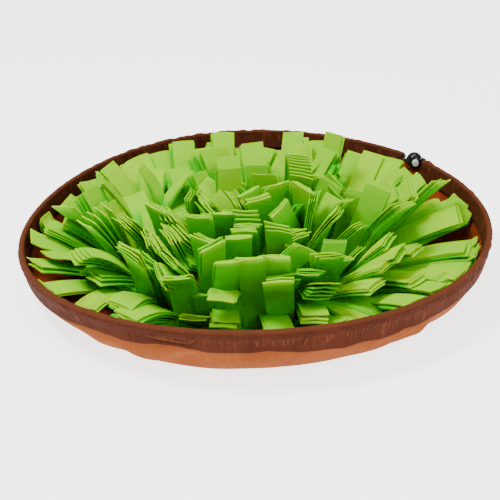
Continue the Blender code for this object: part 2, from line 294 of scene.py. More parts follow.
# Painted shade: places that see little sky are painted the purer, darker green.
felt.colour(felt.mix(felt.ramp(felt.attribute("open"), 0.12, 0.75), LEAF_PAINTED_SHADE, edge_highlighted))
felt.relief((fibres, 0.0002), (matting, 0.0005))
print("felt nodes:", len(felt.tree.nodes))

# %% [markdown]
# ## Small finishes
#
# The cord lock is moulded plastic: glossy, with faint flow marks and worn patches in its roughness. The
# drawstring is braided, and the stitching is plain thread.

# %% Plastic, cord and thread


def plastic(name, colour, roughness):
    finish = Finish(name, Base_Color=(*colour, 1), Roughness=roughness, Specular_IOR_Level=0.4)
    wear = finish.noise(finish.place(), 400, 3, 0.6)
    finish.roughness(finish.ramp(wear, 0.35, 0.7, roughness - 0.06, roughness + 0.10))
    finish.relief((finish.noise(finish.place(), 260, 2), 0.00006))
    return finish


def braid(name, colour, deep, scale):
    """Cord or thread: diagonal strands that wind round a tube, from its own map in metres."""
    finish = Finish(name, Roughness=0.75, Sheen_Weight=0.03, Specular_IOR_Level=0.15)
    strands = []
    for side in (-1, 1):
        slant = (0, 0, side * math.radians(35))
        slanted = finish.node("Mapping", {"Vector": finish.map(), "Rotation": slant})
        settings = {"wave_type": "BANDS", "bands_direction": "X", "wave_profile": "SIN"}
        strands.append(finish.node("TexWave", {"Vector": slanted.outputs[0], "Scale": scale}, **settings))
    height = finish.math("MAXIMUM", *[strand.outputs["Fac"] for strand in strands])
    finish.colour(finish.mix(finish.ramp(height, 0.2, 0.9), deep, colour))
    finish.relief((height, 0.00015))
    return finish


lock_black = plastic("black plastic", (0.006, 0.006, 0.007), 0.14)
button_grey = plastic("grey plastic", (0.60, 0.595, 0.58), 0.3)
dark_cord = braid("dark cord", (0.035, 0.022, 0.016), (0.010, 0.006, 0.005), 260)
brown_thread = braid("brown thread", (0.120, 0.027, 0.010), (0.070, 0.015, 0.006), 900)
print("small finishes:", lock_black.material.name, button_grey.material.name, dark_cord.material.name)

# %% [markdown]
# ## The line of the rim
#
# A drawn-in cloth rim isn't a true circle: it sways by a few millimetres. Two slow waves describe it, and
# every piece near the rim follows the same line. `casing_line` goes down from the drawstring, on the middle
# of the casing.

# %% Rim
RIM_RADIUS = 0.240
RIM_HEIGHT = 0.056
Sway = namedtuple("Sway", "waves radius_cos radius_sin height_cos height_sin")
RIM_SWAYS = (
    Sway(2, -0.0013, 0.0015, -0.0016, -0.0013),
    Sway(3, -0.0006, -0.0037, 0.0013, 0.0005),
)
# (waves round the rim, metres, phase in degrees)
RIM_LUMPS = (
    (37, 0.00040, 10), (61, 0.00035, 80), (83, 0.00030, 200), (113, 0.00025, 310), (147, 0.00020, 140),
)
# (azimuth, half-width in degrees, metres that the casing's end puffs up there)
END_PUFFS = ((32.4, 1.6, 0.0024), (44.0, 1.2, 0.0006))
CASING_CLOTH = 0.0012
CASING_HEIGHT = 0.023
CASING_LEAN = 0.0034
TUNNEL_RADIUS = 0.0021
ARCH = TUNNEL_RADIUS + CASING_CLOTH
DROP = CASING_HEIGHT - ARCH


def rim(azimuth):
    radius, height = RIM_RADIUS, RIM_HEIGHT
    for sway in RIM_SWAYS:
        angle = np.radians(sway.waves * azimuth)
        radius = radius + sway.radius_cos * np.cos(angle) + sway.radius_sin * np.sin(angle)
        height = height + sway.height_cos * np.cos(angle) + sway.height_sin * np.sin(angle)
    return radius, height


def casing_line(azimuth, depth):
    """Radius and height this far below the drawstring."""
    radius, height = rim(azimuth)
    return radius - ARCH - CASING_LEAN * depth / DROP, height - ARCH - depth


def polar(azimuth, radius, height):
    angle = np.radians(azimuth)
    return np.stack(np.broadcast_arrays(radius * np.cos(angle), radius * np.sin(angle), height), -1)


def place_at(azimuth, radius, height):
    return Vector(polar(azimuth, radius, height).tolist())


def rim_lumps(azimuth):
    """Small dents and swells of the gathered rim, along its whole length."""
    total = 0
    for waves, depth, phase in RIM_LUMPS:
        total = total + depth * np.cos(np.radians(waves * azimuth + phase))
    total = total * (0.6 + 0.4 * np.cos(np.radians(3 * azimuth + 40)))
    for middle, width, height in END_PUFFS:
        off = (azimuth - middle + 180) % 360 - 180
        total = total + height * np.exp(-((off / width) ** 2))
    return total


around = np.linspace(0, 360, 361)
print("rim height in mm:", round(1000 * rim(around)[1].min(), 1), "to", round(1000 * rim(around)[1].max(), 1))

# %% [markdown]
# ## Sheets from grids
#
# Both cloth pieces go round the mat, so each is a grid of points: columns round, rows up. The map is laid
# at the same time, in metres. Solidify then gives the sheet its thickness, and `finished` bakes modifiers
# into a plain mesh.


# %% Sheet helpers
def finished(thing):
    """The object with its modifiers baked in: a plain mesh, under the same name."""
    graph = bpy.context.evaluated_depsgraph_get()
    mesh = bpy.data.meshes.new_from_object(thing.evaluated_get(graph), depsgraph=graph)
    name = thing.name
    bpy.data.objects.remove(thing, do_unlink=True)
    mesh.name = name
    return linked(name, mesh)


def mesh_piece(name, points, faces, finish, uvs=None):
    mesh = bpy.data.meshes.new(name)
    mesh.from_pydata([tuple(point) for point in points], [], [tuple(int(k) for k in face) for face in faces])
    if uvs is not None:
        layer = mesh.uv_layers.new(name="cloth")
        layer.data.foreach_set("uv", np.asarray(uvs, dtype=np.float32).ravel())
    mesh.materials.append(finish.material)
    mesh.shade_smooth()
    return linked(name, mesh)


def sheet_from_grid(name, points, maps, closed, finish, flip=False):
    """A sheet through a grid: points[column, row]. A closed grid joins its last column to its first."""
    columns, rows = points.shape[:2]
    faces, uvs = [], []
    for column in range(columns if closed else columns - 1):
        after = (column + 1) % columns
        for row in range(rows - 1):
            corners = [(column, row), (column, row + 1), (after, row + 1), (after, row)]
            if flip:
                corners.reverse()
            faces.append([c * rows + r for c, r in corners])
            for c, r in corners:
                across = maps[c, r, 0]
                if closed and after == 0 and c == 0:
                    across = maps[-1, r, 0] + maps[1, r, 0] - maps[0, r, 0]
                uvs.append((across, maps[c, r, 1]))
    return mesh_piece(name, points.reshape(-1, 3), faces, finish, uvs)


def thicken(sheet, thickness, offset):
    solidify = sheet.modifiers.new("thickness", "SOLIDIFY")
    solidify.thickness = thickness
    solidify.offset = offset
    solidify.use_even_offset = True


def store_points(mesh, name, values, kind="FLOAT", entry="value"):
    """Keeps a value on each point of a mesh, for a finish or a node tree to read."""
    mesh.attributes.new(name, kind, "POINT").data.foreach_set(entry, values)


def run_lengths(points):
    """Distance along each column of a grid, from its first row."""
    steps = np.linalg.norm(np.diff(points, axis=1), axis=2)
    return np.concatenate([np.zeros((len(points), 1)), np.cumsum(steps, axis=1)], axis=1)


def smooth(low, high, value):
    share = np.clip((value - low) / (high - low), 0, 1)
    return share * share * (3 - 2 * share)


def between(knots, azimuth):
    """A smooth closed curve through (azimuth, value) knots, sorted by azimuth."""
    angles = np.array([knot[0] for knot in knots], float)
    values = np.array([knot[1] for knot in knots], float)
    spot = (np.asarray(azimuth, float) - angles[0]) % 360 + angles[0]
    angles = np.append(angles, angles[0] + 360)
    values = np.append(values, values[0])
    index = np.clip(np.searchsorted(angles, spot, side="right") - 1, 0, len(angles) - 2)
    share = smooth(angles[index], angles[index + 1], spot)
    return values[index] + (values[index + 1] - values[index]) * share


print("helpers ready")

# %% [markdown]
# ## The bowl
#
# The base is flat on the floor. The wall flares up from its edge and is pulled inwards by the casing, so
# its profile is a bent line, and a Bezier curve describes it with two pulls. Slack cloth folds: soft
# uneven swells go round the whole wall, and a short table sets the main creases. Cloth simulation
# could make them too, but then the creases would fall anywhere.

# %% Bowl
BASE_RADIUS = 0.200
BOWL_CLOTH = 0.0016
WALL_START_SLOPE = math.radians(29)
WALL_START_PULL = 0.016
WALL_END_PULL = 0.011
TURN_IN = 0.009
# (azimuth, millimetres that the base's edge lies outside the circle there)
FOOT_SWAYS = (
    (20, 1.0), (60, -1.0), (100, 1.5), (140, 0.0), (180, 1.0), (205, -1.0), (222, -4.0), (233, -1.0),
    (241, 2.0), (247, 6.0), (255, 6.0), (270, 3.0), (290, 3.5), (300, 4.5), (308, 7.0), (316, 4.0),
    (326, 3.0), (336, 4.0), (350, 3.0),
)
# Folds: how many go round the wall, how deep, and where one of them is.
Fold = namedtuple("Fold", "count depth azimuth")
WALL_FOLDS = (Fold(5, 0.0011, 20), Fold(8, 0.0012, 95), Fold(13, 0.0010, 210), Fold(29, 0.0005, 60))
# Creases: where, how wide, how deep (out is +), at what share of the wall's height, and how slanted.
Crease = namedtuple("Crease", "azimuth width depth height slant")
WALL_CREASES = (
    Crease(229, 4.0, 0.0016, 0.60, 6),
    Crease(236, 2.5, -0.0022, 0.55, -8),
    Crease(243, 4.5, 0.0028, 0.50, 10),
    Crease(252, 2.2, -0.0020, 0.65, 8),
    Crease(262, 5.0, 0.0015, 0.50, 0),
    Crease(287, 3.0, -0.0014, 0.60, -6),
    Crease(301, 2.2, 0.0024, 0.55, 12),
    Crease(305, 2.0, -0.0020, 0.50, 10),
    Crease(317, 4.5, -0.0038, 0.65, 0),
    Crease(310, 2.6, 0.0022, 0.60, -6),
    Crease(338, 2.5, -0.0016, 0.55, 9),
    Crease(2, 3.5, 0.0018, 0.50, -8),
    Crease(24, 2.2, -0.0018, 0.60, 7),
    Crease(61, 3.0, 0.0018, 0.50, 8),
    Crease(83, 2.4, -0.0018, 0.55, -9),
    Crease(112, 3.6, 0.0020, 0.50, 7),
    Crease(139, 2.4, -0.0018, 0.60, -7),
    Crease(163, 3.2, 0.0018, 0.50, 9),
    Crease(188, 2.2, -0.0016, 0.55, 8),
    Crease(207, 3.4, 0.0012, 0.50, -8),
)
WALL_ROWS = 20
BOWL_COLUMNS = 900
LOCK_AZIMUTH = 38.4
MOUTH_HALF = 5.0
NOTCH_RISE = 0.0100
LOCK_HOLLOW = 0.0125
LOCK_HOLLOW_REACH = 0.0195
BASE_RINGS = (0.004, 0.03, 0.06, 0.09, 0.12, 0.15, 0.18, 0.195)


def folds(table, azimuth):
    return sum(fold.depth * np.cos(np.radians(fold.count * (azimuth - fold.azimuth))) for fold in table)


def creases(azimuth, share):
    """How far the wall's main creases push it out, at an azimuth and a share of the wall's height."""
    total = np.zeros(np.broadcast(azimuth, share).shape)
    for crease in WALL_CREASES:
        middle = crease.azimuth + crease.slant * (share - 0.5)
        off = (azimuth - middle + 180) % 360 - 180
        upright = np.exp(-(((share - crease.height) / 0.30) ** 2))
        total += crease.depth * upright * np.exp(-((off / crease.width) ** 2))
    return total


def bezier(points, share):
    """A point on a Bezier curve, from its two ends and the two pulls between them."""
    a, b, c, d = points
    rest = 1 - share
    return a * rest**3 + b * 3 * rest**2 * share + c * 3 * rest * share**2 + d * share**3


def wall_line(azimuth, share):
    """Radius and height on the wall's outer face, from the base's edge (0) to the casing's hem (1)."""
    radius, height = casing_line(azimuth, DROP)
    top_radius, top_height = casing_line(azimuth, 0)
    rise = np.hypot(top_radius - radius, top_height - height)
    up = ((top_radius - radius) / rise, (top_height - height) / rise)
    end = (radius + up[1] * BOWL_CLOTH / 2, height - up[0] * BOWL_CLOTH / 2)
    slope = WALL_START_SLOPE
    foot = BASE_RADIUS + between(FOOT_SWAYS, azimuth) / 1000
    near = (foot + WALL_START_PULL * math.cos(slope), WALL_START_PULL * math.sin(slope))
    far = (end[0] - WALL_END_PULL * up[0], end[1] - WALL_END_PULL * up[1])
    line = [bezier(points, share) for points in zip((foot, 0), near, far, end)]
    swell = folds(WALL_FOLDS, azimuth) * np.sin(np.pi * share) ** 1.5
    swell = swell + creases(azimuth, share) * np.sin(np.pi * share) ** 0.8
    return line[0] + swell * math.sin(slope), line[1] - swell * math.cos(slope)


def round_the_lock(points):
    """How far the cloth in the gap of the casing is pushed outwards, round the back of the cord lock."""
    line_radius, line_height = casing_line(LOCK_AZIMUTH, 0)
    lock = polar(LOCK_AZIMUTH, line_radius, line_height)
    far = np.linalg.norm(points - lock, axis=-1) / LOCK_HOLLOW_REACH
    push = LOCK_HOLLOW * np.cos(np.pi / 2 * np.clip(far, 0, 1)) ** 2
    angle = math.radians(LOCK_AZIMUTH)
    return push[..., None] * np.array([math.cos(angle), math.sin(angle), 0.0])


def bowl_grid():
    azimuths = np.linspace(0, 360, BOWL_COLUMNS, endpoint=False)[:, None]
    base = np.array(BASE_RINGS)[None, :]
    shares = np.linspace(0, 1, WALL_ROWS + 1)[None, :]
    radius, height = wall_line(azimuths, shares)
    height = np.maximum(height, 0)
    tuck = np.linspace(0, 1, 7)[None, 1:]
    in_mouth = 1 - smooth(0.6, 1.0, np.abs(azimuths - LOCK_AZIMUTH) / MOUTH_HALF)
    rise = tuck * (TURN_IN + NOTCH_RISE * in_mouth)
    slope = CASING_LEAN / DROP
    columns = [
        polar(azimuths, np.broadcast_to(base, (BOWL_COLUMNS, base.shape[1])), 0.0),
        polar(azimuths, radius, height),
        polar(azimuths, radius[:, -1:] + slope * rise, height[:, -1:] + rise),
    ]
    points = np.concatenate(columns, axis=1)
    return azimuths, points + round_the_lock(points)


azimuths, grid = bowl_grid()
lengths = run_lengths(grid)
maps = np.stack([np.radians(azimuths) * RIM_RADIUS * np.ones_like(lengths), lengths], -1)
bowl = sheet_from_grid("bowl_cloth", grid, maps, True, tan_cloth)
print("bowl faces:", len(bowl.data.polygons))

# %% [markdown]
# The middle of the base is closed with one fan, and then the sheet gets its thickness inwards, because its
# under side has to stay flat on the floor. The `inner` attribute marks the faces that look into the bowl.


# %% Thickness of the bowl
def close_middle(piece):
    """Closes the hole in the middle of the base with a fan of triangles."""
    bm = bmesh.new()
    bm.from_mesh(piece.data)
    hole = [edge for edge in bm.edges if edge.is_boundary and edge.verts[0].co.length < BASE_RADIUS / 2]
    ends = bmesh.ops.extrude_edge_only(bm, edges=hole)["geom"]
    rim_verts = [part for part in ends if isinstance(part, bmesh.types.BMVert)]
    bmesh.ops.pointmerge(bm, verts=rim_verts, merge_co=(0, 0, 0))
    bmesh.ops.recalc_face_normals(bm, faces=bm.faces)
    bm.to_mesh(piece.data)
    bm.free()


def mark_inner(piece):
    """An attribute that is 1 on faces that look up or inwards, and 0 on those that look down or out."""
    mesh = piece.data
    layer = mesh.attributes.new("inner", "FLOAT", "FACE")
    for face, entry in zip(mesh.polygons, layer.data):
        inward = -(face.center.x * face.normal.x + face.center.y * face.normal.y)
        entry.value = 1.0 if face.normal.z > 0.15 or inward > 0.02 * RIM_RADIUS else 0.0


close_middle(bowl)
faces_down = sum(1 for face in bowl.data.polygons if face.normal.z < 0)
thicken(bowl, BOWL_CLOTH, -1 if faces_down > len(bowl.data.polygons) / 2 else 1)
bowl = finished(bowl)
mark_inner(bowl)
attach(bowl, "root")
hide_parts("bowl")

# %% [markdown]
# ## The casing
#
# The casing is a strip that is folded over the drawstring and sewn on both sides of the bowl's edge. The
# drawstring gathers it, so it is full of small puckers: short soft ridges, close together and all
# different. Each pucker is a smooth bump with its own place, width, height and reach, drawn with a fixed
# seed, and the mesh is fine enough to hold them. The lower hem isn't level: a few knots set how far down
# it hangs, and the cloth between them is smooth.

# %% Casing
MOUTH_AZIMUTHS = (42.6, 34.6)
LAYER_GAP = 0.00035
TUNNEL_END = 0.0032
OUTER_SHARES = (1, 0.94, 0.87, 0.80, 0.73, 0.66, 0.59, 0.52, 0.46, 0.40, 0.34, 0.28, 0.22, 0.16, 0.10, 0.04)
INNER_SHARES = (0.1, 0.22, 0.36, 0.52, 0.70, 0.86, 1)
ARCH_ROWS = 7
FRONT_COLUMNS, BACK_COLUMNS = 880, 690
GATHER_SEED = 5
GATHER = 1.25
# The inner side's gathers are wider and higher, and the cloth puffs up a little beside the fold.
INNER_PACE = 3.0
INNER_LIFT = 1.3
TOP_PUFF = 0.0012
DEEPEST_PLEAT = 0.0009
# How far a full ridge stands out, then the painted highlight on the top of the fold, the painted highlight
# and shade of ridges and creases, the painted shade under the fold and over the whole outer side, and the
# painted light on the inner side and its ridges.
FULL_RIDGE = 0.0011
FOLD_TOP_HIGHLIGHT = 0.5
RIDGE_HIGHLIGHT_TONE, CREASE_SHADE_TONE = 0.42, 0.9
UNDER_FOLD_SHADE, OUTER_SIDE_SHADE = 0.72, 0.10
INNER_SIDE_LIGHT, INNER_RIDGE_HIGHLIGHT = 0.16, 0.40
# (azimuth, metres that a gather stands out there)
GATHER_STRENGTHS = (
    (10, 0.0012), (90, 0.0010), (180, 0.0010), (215, 0.0005), (240, 0.0004), (256, 0.0008), (266, 0.0013),
    (290, 0.0016), (310, 0.0016), (335, 0.0013),
)
# (azimuth, millimetres from the drawstring down to the outer hem)
HEM_DEPTHS = (
    (12, 20.0), (30, 18.5), (50, 19.5), (70, 18.0), (86, 20.5), (104, 18.5), (120, 20.0), (138, 18.5),
    (155, 20.5), (172, 18.5), (188, 20.0), (205, 18.0), (217, 19.5), (224.5, 18.2), (229, 16.4), (233, 16.0),
    (236, 17.0), (240, 19.2), (244, 18.6), (248, 15.8), (252, 15.8), (255.5, 17.8), (259, 20.4), (264, 20.2),
    (268, 20.0), (271.5, 18.4), (275, 20.2), (279.5, 22.6), (284, 22.8), (288.5, 24.2), (292.5, 21.9),
    (297.5, 24.0), (300.5, 23.2), (303.3, 20.6), (306.8, 22.4), (311, 20.8), (319, 20.8), (333, 21.0),
    (350, 18.6),
)
# Pleats given one by one: the middle's azimuth and depth (mm), half-length, half-width and height (mm), and
# the angle from upright, + where the pleat's lower end lies at the larger azimuth.
Pleat = namedtuple("Pleat", "azimuth depth length width height angle")
PLEATS = (
    Pleat(251.0, 11.3, 17.0, 0.9, -1.3, 85),
    Pleat(250.5, 9.2, 16.0, 1.5, 1.0, 85),
    Pleat(249.5, 4.6, 4.0, 7.0, 0.6, 0),
    Pleat(241.8, 10.0, 4.8, 0.9, -0.9, 22),
    Pleat(242.3, 10.0, 4.8, 0.9, 0.6, 22),
    Pleat(255.6, 8.5, 5.0, 1.0, 0.9, -50),
    Pleat(256.2, 9.2, 4.5, 0.9, -0.6, -50),
    Pleat(258.9, 13.0, 3.0, 0.8, 0.5, 20),
    Pleat(279.6, 9.6, 5.5, 0.8, 1.1, -23),
    Pleat(279.1, 9.6, 5.0, 0.8, -0.8, -23),
    Pleat(284.2, 11.0, 4.0, 0.7, 0.8, -13),
    Pleat(289.5, 11.0, 3.0, 0.7, 0.7, -15),
    Pleat(290.3, 11.5, 3.2, 0.7, 0.7, -22),
    Pleat(302.9, 5.4, 3.0, 0.7, 0.8, 0),
    Pleat(297.0, 14.0, 5.0, 2.0, 0.7, 10),
    Pleat(308.0, 13.0, 5.0, 2.2, 0.8, -12),
    Pleat(228.0, 8.0, 6.0, 3.0, 0.7, 30),
    Pleat(222.0, 10.0, 5.0, 2.0, -0.6, -20),
)


def casing_rows():
    """Rows of the casing's section from the outer hem, over the drawstring, to the inner hem."""
    rows = [("outer", share) for share in OUTER_SHARES]
    rows += [("arch", angle) for angle in np.linspace(0, math.pi, ARCH_ROWS)]
    return rows + [("inner", share) for share in INNER_SHARES]


def gather_field(azimuths, depths, pace=1.0):
    """How far the gathers lift the cloth, for each azimuth and depth below the drawstring."""
    draw = random.Random(GATHER_SEED)
    field = np.zeros(depths.shape)
    spot = MOUTH_AZIMUTHS[0]
    while spot < MOUTH_AZIMUTHS[1] + 360:
        spot += draw.uniform(0.40, 1.15) * pace
        strength = draw.uniform(0.15, 1.0) * float(between(GATHER_STRENGTHS, spot))
        width = draw.uniform(0.12, 0.24) * pace
        start = draw.uniform(0.0006, 0.0016)
        end = start + draw.uniform(0.007, 0.015)
        slant = draw.uniform(-60, 60)
        near = np.abs(azimuths - spot) < 2.5 * pace
        depth = depths[near]
        off = azimuths[near][:, None] - spot - slant * (depth - 0.006)
        reach = smooth(start, start + 0.002, depth) * (1 - smooth(end - 0.006, end, depth))
        field[near] += strength * reach * np.exp(-((off / width) ** 2))
    return field


def pleat_field(azimuths, depths):
    """How far the listed pleats move the cloth."""
    field = np.zeros(depths.shape)
    for pleat in PLEATS:
        run = np.radians(azimuths - pleat.azimuth)[:, None] * RIM_RADIUS * 1000
        drop = 1000 * depths - pleat.depth
        angle = math.radians(pleat.angle)
        along_it = run * math.sin(angle) + drop * math.cos(angle)
        across_it = run * math.cos(angle) - drop * math.sin(angle)
        bump = np.exp(-((along_it / pleat.length) ** 4)) * np.exp(-((across_it / pleat.width) ** 2))
        field += pleat.height / 1000 * bump
    return field


def casing_grid():
    start, end = MOUTH_AZIMUTHS[0], MOUTH_AZIMUTHS[1] + 360
    azimuths = np.concatenate([
        np.linspace(start, 222, BACK_COLUMNS * 3 // 4, endpoint=False),
        np.linspace(222, 345, FRONT_COLUMNS, endpoint=False),
        np.linspace(345, end, BACK_COLUMNS // 4),
    ])
    rows = casing_rows()
    wide = TUNNEL_RADIUS + CASING_CLOTH / 2
    narrow = BOWL_CLOTH / 2 + LAYER_GAP + CASING_CLOTH / 2
    hem = between(HEM_DEPTHS, azimuths) / 1000
    lumps = rim_lumps(azimuths)
    across = np.zeros((len(azimuths), len(rows)))
    depth = np.zeros_like(across)
    for index, (kind, value) in enumerate(rows):
        if kind == "arch":
            across[:, index] = wide * math.cos(value)
            depth[:, index] = -(wide + lumps * math.sin(value)) * math.sin(value)
        else:
            side = 1 if kind == "outer" else -1
            depth[:, index] = value * (hem if kind == "outer" else DROP)
            width = wide + (narrow - wide) * smooth(0.0002, TUNNEL_END, depth[:, index])
            near_top = (1 - smooth(0, 0.010, depth[:, index])) * smooth(0, 0.001, depth[:, index])
            across[:, index] = side * (width + 0.5 * (lumps + TOP_PUFF) * near_top)
    outer = np.array([kind == "outer" for kind, _ in rows])
    pleats = np.maximum(pleat_field(azimuths, depth[:, outer]), -DEEPEST_PLEAT)
    lift = gather_field(azimuths, depth[:, outer]) + pleats
    across[:, outer] += lift
    inner = np.array([kind == "inner" for kind, _ in rows])
    puckers = gather_field(azimuths, depth[:, inner], INNER_PACE)
    across[:, inner] -= INNER_LIFT * puckers
    # Painted light and shade, kept in `crest`: lighter on the inner side and its puckers, on the ridges and
    # on the top of the fold; darker in the creases, in a band under the fold and over the whole outer side.
    crest = np.zeros_like(across)
    crest[:, inner] = INNER_SIDE_LIGHT + INNER_RIDGE_HIGHLIGHT * np.clip(puckers / FULL_RIDGE, 0, 1)
    crest[:, outer] = np.clip(lift / FULL_RIDGE, -1, 1) * np.where(lift > 0, RIDGE_HIGHLIGHT_TONE, CREASE_SHADE_TONE)
    under_fold_shade_mask = smooth(0.0004, 0.0020, depth) * (1 - smooth(0.0030, 0.0060, depth))
    crest[:, outer] -= UNDER_FOLD_SHADE * under_fold_shade_mask[:, outer] + OUTER_SIDE_SHADE
    for index, (kind, value) in enumerate(rows):
        if kind == "arch":
            crest[:, index] = FOLD_TOP_HIGHLIGHT * math.sin(value)
    top_radius, top_height = casing_line(azimuths, 0)
    down = np.array([-CASING_LEAN / DROP, -1.0])
    down /= np.linalg.norm(down)
    out = np.array([-down[1], down[0]])
    radius = top_radius[:, None] + across * out[0] + depth * down[0]
    height = top_height[:, None] + across * out[1] + depth * down[1]
    return azimuths, polar(azimuths[:, None], radius, height), crest


azimuths, grid, crest = casing_grid()
lengths = run_lengths(grid)
maps = np.stack([np.radians(azimuths)[:, None] * RIM_RADIUS * GATHER * np.ones_like(lengths), lengths], -1)
casing = sheet_from_grid("casing_cloth", grid, maps, False, brown_cloth, flip=True)
store_points(casing.data, "crest", crest.ravel())
thicken(casing, CASING_CLOTH, 0)
casing = finished(casing)
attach(casing, "root")
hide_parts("casing")

# %% [markdown]
# ## The drawstring
#
# The drawstring runs inside the casing nearly all the way round, and shows only between the two mouths,
# where it dips through the cord lock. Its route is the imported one: out of the lock, round, and back in. A
# mesh tube gives it a map in metres, so that the braid keeps its pitch.

# %% Drawstring
CORD_RADIUS = 0.0015
LOCK_DROP = 0.0005
LOCK_RADIUS = 0.009
CORD_END_GAP = 0.0008
MOUTH_STRAIGHT = 0.002
LOOP = Vector((0.0030, -0.0016, 0))


def point_on(azimuth):
    """A point on the drawstring's line."""
    return place_at(azimuth, *casing_line(azimuth, 0.0))


def along(points, steps):
    """A smooth curve through the points, with this many steps between each two."""
    curve = []
    for k in range(len(points) - 1):
        before = points[max(k - 1, 0)]
        after = points[min(k + 2, len(points) - 1)]
        here, there = points[k], points[k + 1]
        for step in range(steps):
            pull_a, pull_b = (there - before) / 6, (after - here) / 6
            curve.append(bezier((here, here + pull_a, there - pull_b, there), step / steps))
    return curve + [points[-1]]


def cord_route():
    lock = point_on(LOCK_AZIMUTH) - Vector((0, 0, LOCK_DROP))
    spots = np.linspace(MOUTH_AZIMUTHS[0], MOUTH_AZIMUTHS[1] + 360, 181)
    inside = [point_on(float(spot)) for spot in spots]
    mouths = [
        inside[0] + (inside[0] - inside[1]).normalized() * MOUTH_STRAIGHT,
        inside[-1] + (inside[-1] - inside[-2]).normalized() * MOUTH_STRAIGHT,
    ]
    hole = Vector((LOCK_RADIUS, 0, 0))
    end = Vector((CORD_END_GAP, 0, 0))
    first = along([lock - hole, lock - hole - LOOP, mouths[0], inside[0]], 8)
    last = along([inside[-1], mouths[1], lock + hole + LOOP, lock + hole], 8)
    return lock, [lock - end] + first[:-1] + inside + last[1:] + [lock + end]


def tube(name, route, radius, sides, finish):
    """A round tube along a route, with closed ends and a map that runs along and round it."""
    points = np.array([tuple(point) for point in route])
    tangents = np.gradient(points, axis=0)
    tangents /= np.linalg.norm(tangents, axis=1)[:, None]
    side = np.cross(tangents, (0.0, 0.0, 1.0))
    side /= np.linalg.norm(side, axis=1)[:, None]
    rise = np.cross(side, tangents)
    angles = np.linspace(0, 2 * math.pi, sides, endpoint=False)
    ring = side[:, None] * np.cos(angles)[None, :, None] + rise[:, None] * np.sin(angles)[None, :, None]
    grid = points[:, None] + radius * ring
    runs = np.concatenate([[0], np.cumsum(np.linalg.norm(np.diff(points, axis=0), axis=1))])
    faces, uvs = [], []
    for k in range(len(points) - 1):
        for s in range(sides):
            after = (s + 1) % sides
            for place, turn in ((k, s), (k, s + 1), (k + 1, s + 1), (k + 1, s)):
                uvs.append((runs[place], turn / sides * 2 * math.pi * radius))
            faces.append((k * sides + s, k * sides + after, (k + 1) * sides + after, (k + 1) * sides + s))
    for first, order in ((0, -1), ((len(points) - 1) * sides, 1)):
        cap = [first + s for s in range(sides)][::order]
        faces.append(cap)
        uvs += [(0, 0)] * sides
    return mesh_piece(name, grid.reshape(-1, 3), faces, finish, uvs)


lock_centre, route = cord_route()
drawstring = tube("drawstring_braid", route, CORD_RADIUS, 16, dark_cord)
# The rings turn the other way round the route, so the faces are flipped to point outwards.
drawstring.data.flip_normals()
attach(drawstring, "root")
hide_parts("drawstring")
cord_length = sum((b - a).length for a, b in zip(route, route[1:]))
print("drawstring:", round(cord_length, 3), "m")

# %% [markdown]
# ## The cord lock
#
# A round cord lock is a ball with a button in it. A spring pushes the button out, and its slot pinches the
# cord against the ball's own holes. Both are turned shapes: a profile is spun round the push axis, which
# gives even round faces, and the cord's hole is cut through afterwards.

# %% Cord lock
BUTTON_RADIUS = 0.0036
BUTTON_PROUD = 0.0036
BUTTON_TRAVEL = 0.003
BUTTON_BAR = 0.0017
SOCKET_GAP = 0.0003
SOCKET_FLOOR = 0.0005
SOCKET_LIP = 0.0004
BUTTON_EDGE = 0.0008
CORD_HOLE_RADIUS = CORD_RADIUS + 0.0004


def turned(name, profile, finish, sides=56):
    """Spins a closed (radius, place along the push axis) profile round the axis through the lock."""
    points, faces = [], []
    last = len(profile) - 1
    for k in range(sides):
        angle = 2 * math.pi * k / sides
        for radius, place in profile[1:last]:
            points.append((radius * math.cos(angle), place, radius * math.sin(angle)))
    rows = last - 1
    ends = (len(points), len(points) + 1)
    points += [(0, profile[0][1], 0), (0, profile[last][1], 0)]
    for k in range(sides):
        after = (k + 1) % sides
        faces.append((ends[0], k * rows, after * rows))
        for row in range(rows - 1):
            faces.append((k * rows + row, k * rows + row + 1, after * rows + row + 1, after * rows + row))
        faces.append((k * rows + rows - 1, ends[1], after * rows + rows - 1))
    piece = mesh_piece(name, [Vector(point) + lock_centre for point in points], faces, finish)
    bm = bmesh.new()
    bm.from_mesh(piece.data)
    bmesh.ops.recalc_face_normals(bm, faces=bm.faces)
    bm.to_mesh(piece.data)
    bm.free()
    return piece


def rounded(centre, radius, start, end, steps):
    """Points of an arc in a profile, angles in degrees from the outward direction."""
    arc = []
    for k in range(steps + 1):
        angle = math.radians(start + (end - start) * k / steps)
        arc.append((centre[0] + radius * math.cos(angle), centre[1] + radius * math.sin(angle)))
    return arc


def cut(piece, cutter):
    boolean = piece.modifiers.new("hole", "BOOLEAN")
    boolean.operation = "DIFFERENCE"
    boolean.solver = "EXACT"
    boolean.object = cutter
    made = finished(piece)
    bpy.data.objects.remove(cutter, do_unlink=True)
    return made


def object_from(bm, name):
    mesh = bpy.data.meshes.new(name)
    bm.to_mesh(mesh)
    bm.free()
    return linked(name, mesh)


def rod(radius, length, direction, sides=40):
    """A plain rod through the lock's centre, to cut holes with."""
    bm = bmesh.new()
    bmesh.ops.create_cone(bm, cap_ends=True, segments=sides, radius1=radius, radius2=radius, depth=length)
    bmesh.ops.rotate(bm, verts=bm.verts, matrix=Vector((0, 0, 1)).rotation_difference(direction).to_matrix())
    bmesh.ops.translate(bm, verts=bm.verts, vec=lock_centre)
    return object_from(bm, "rod")


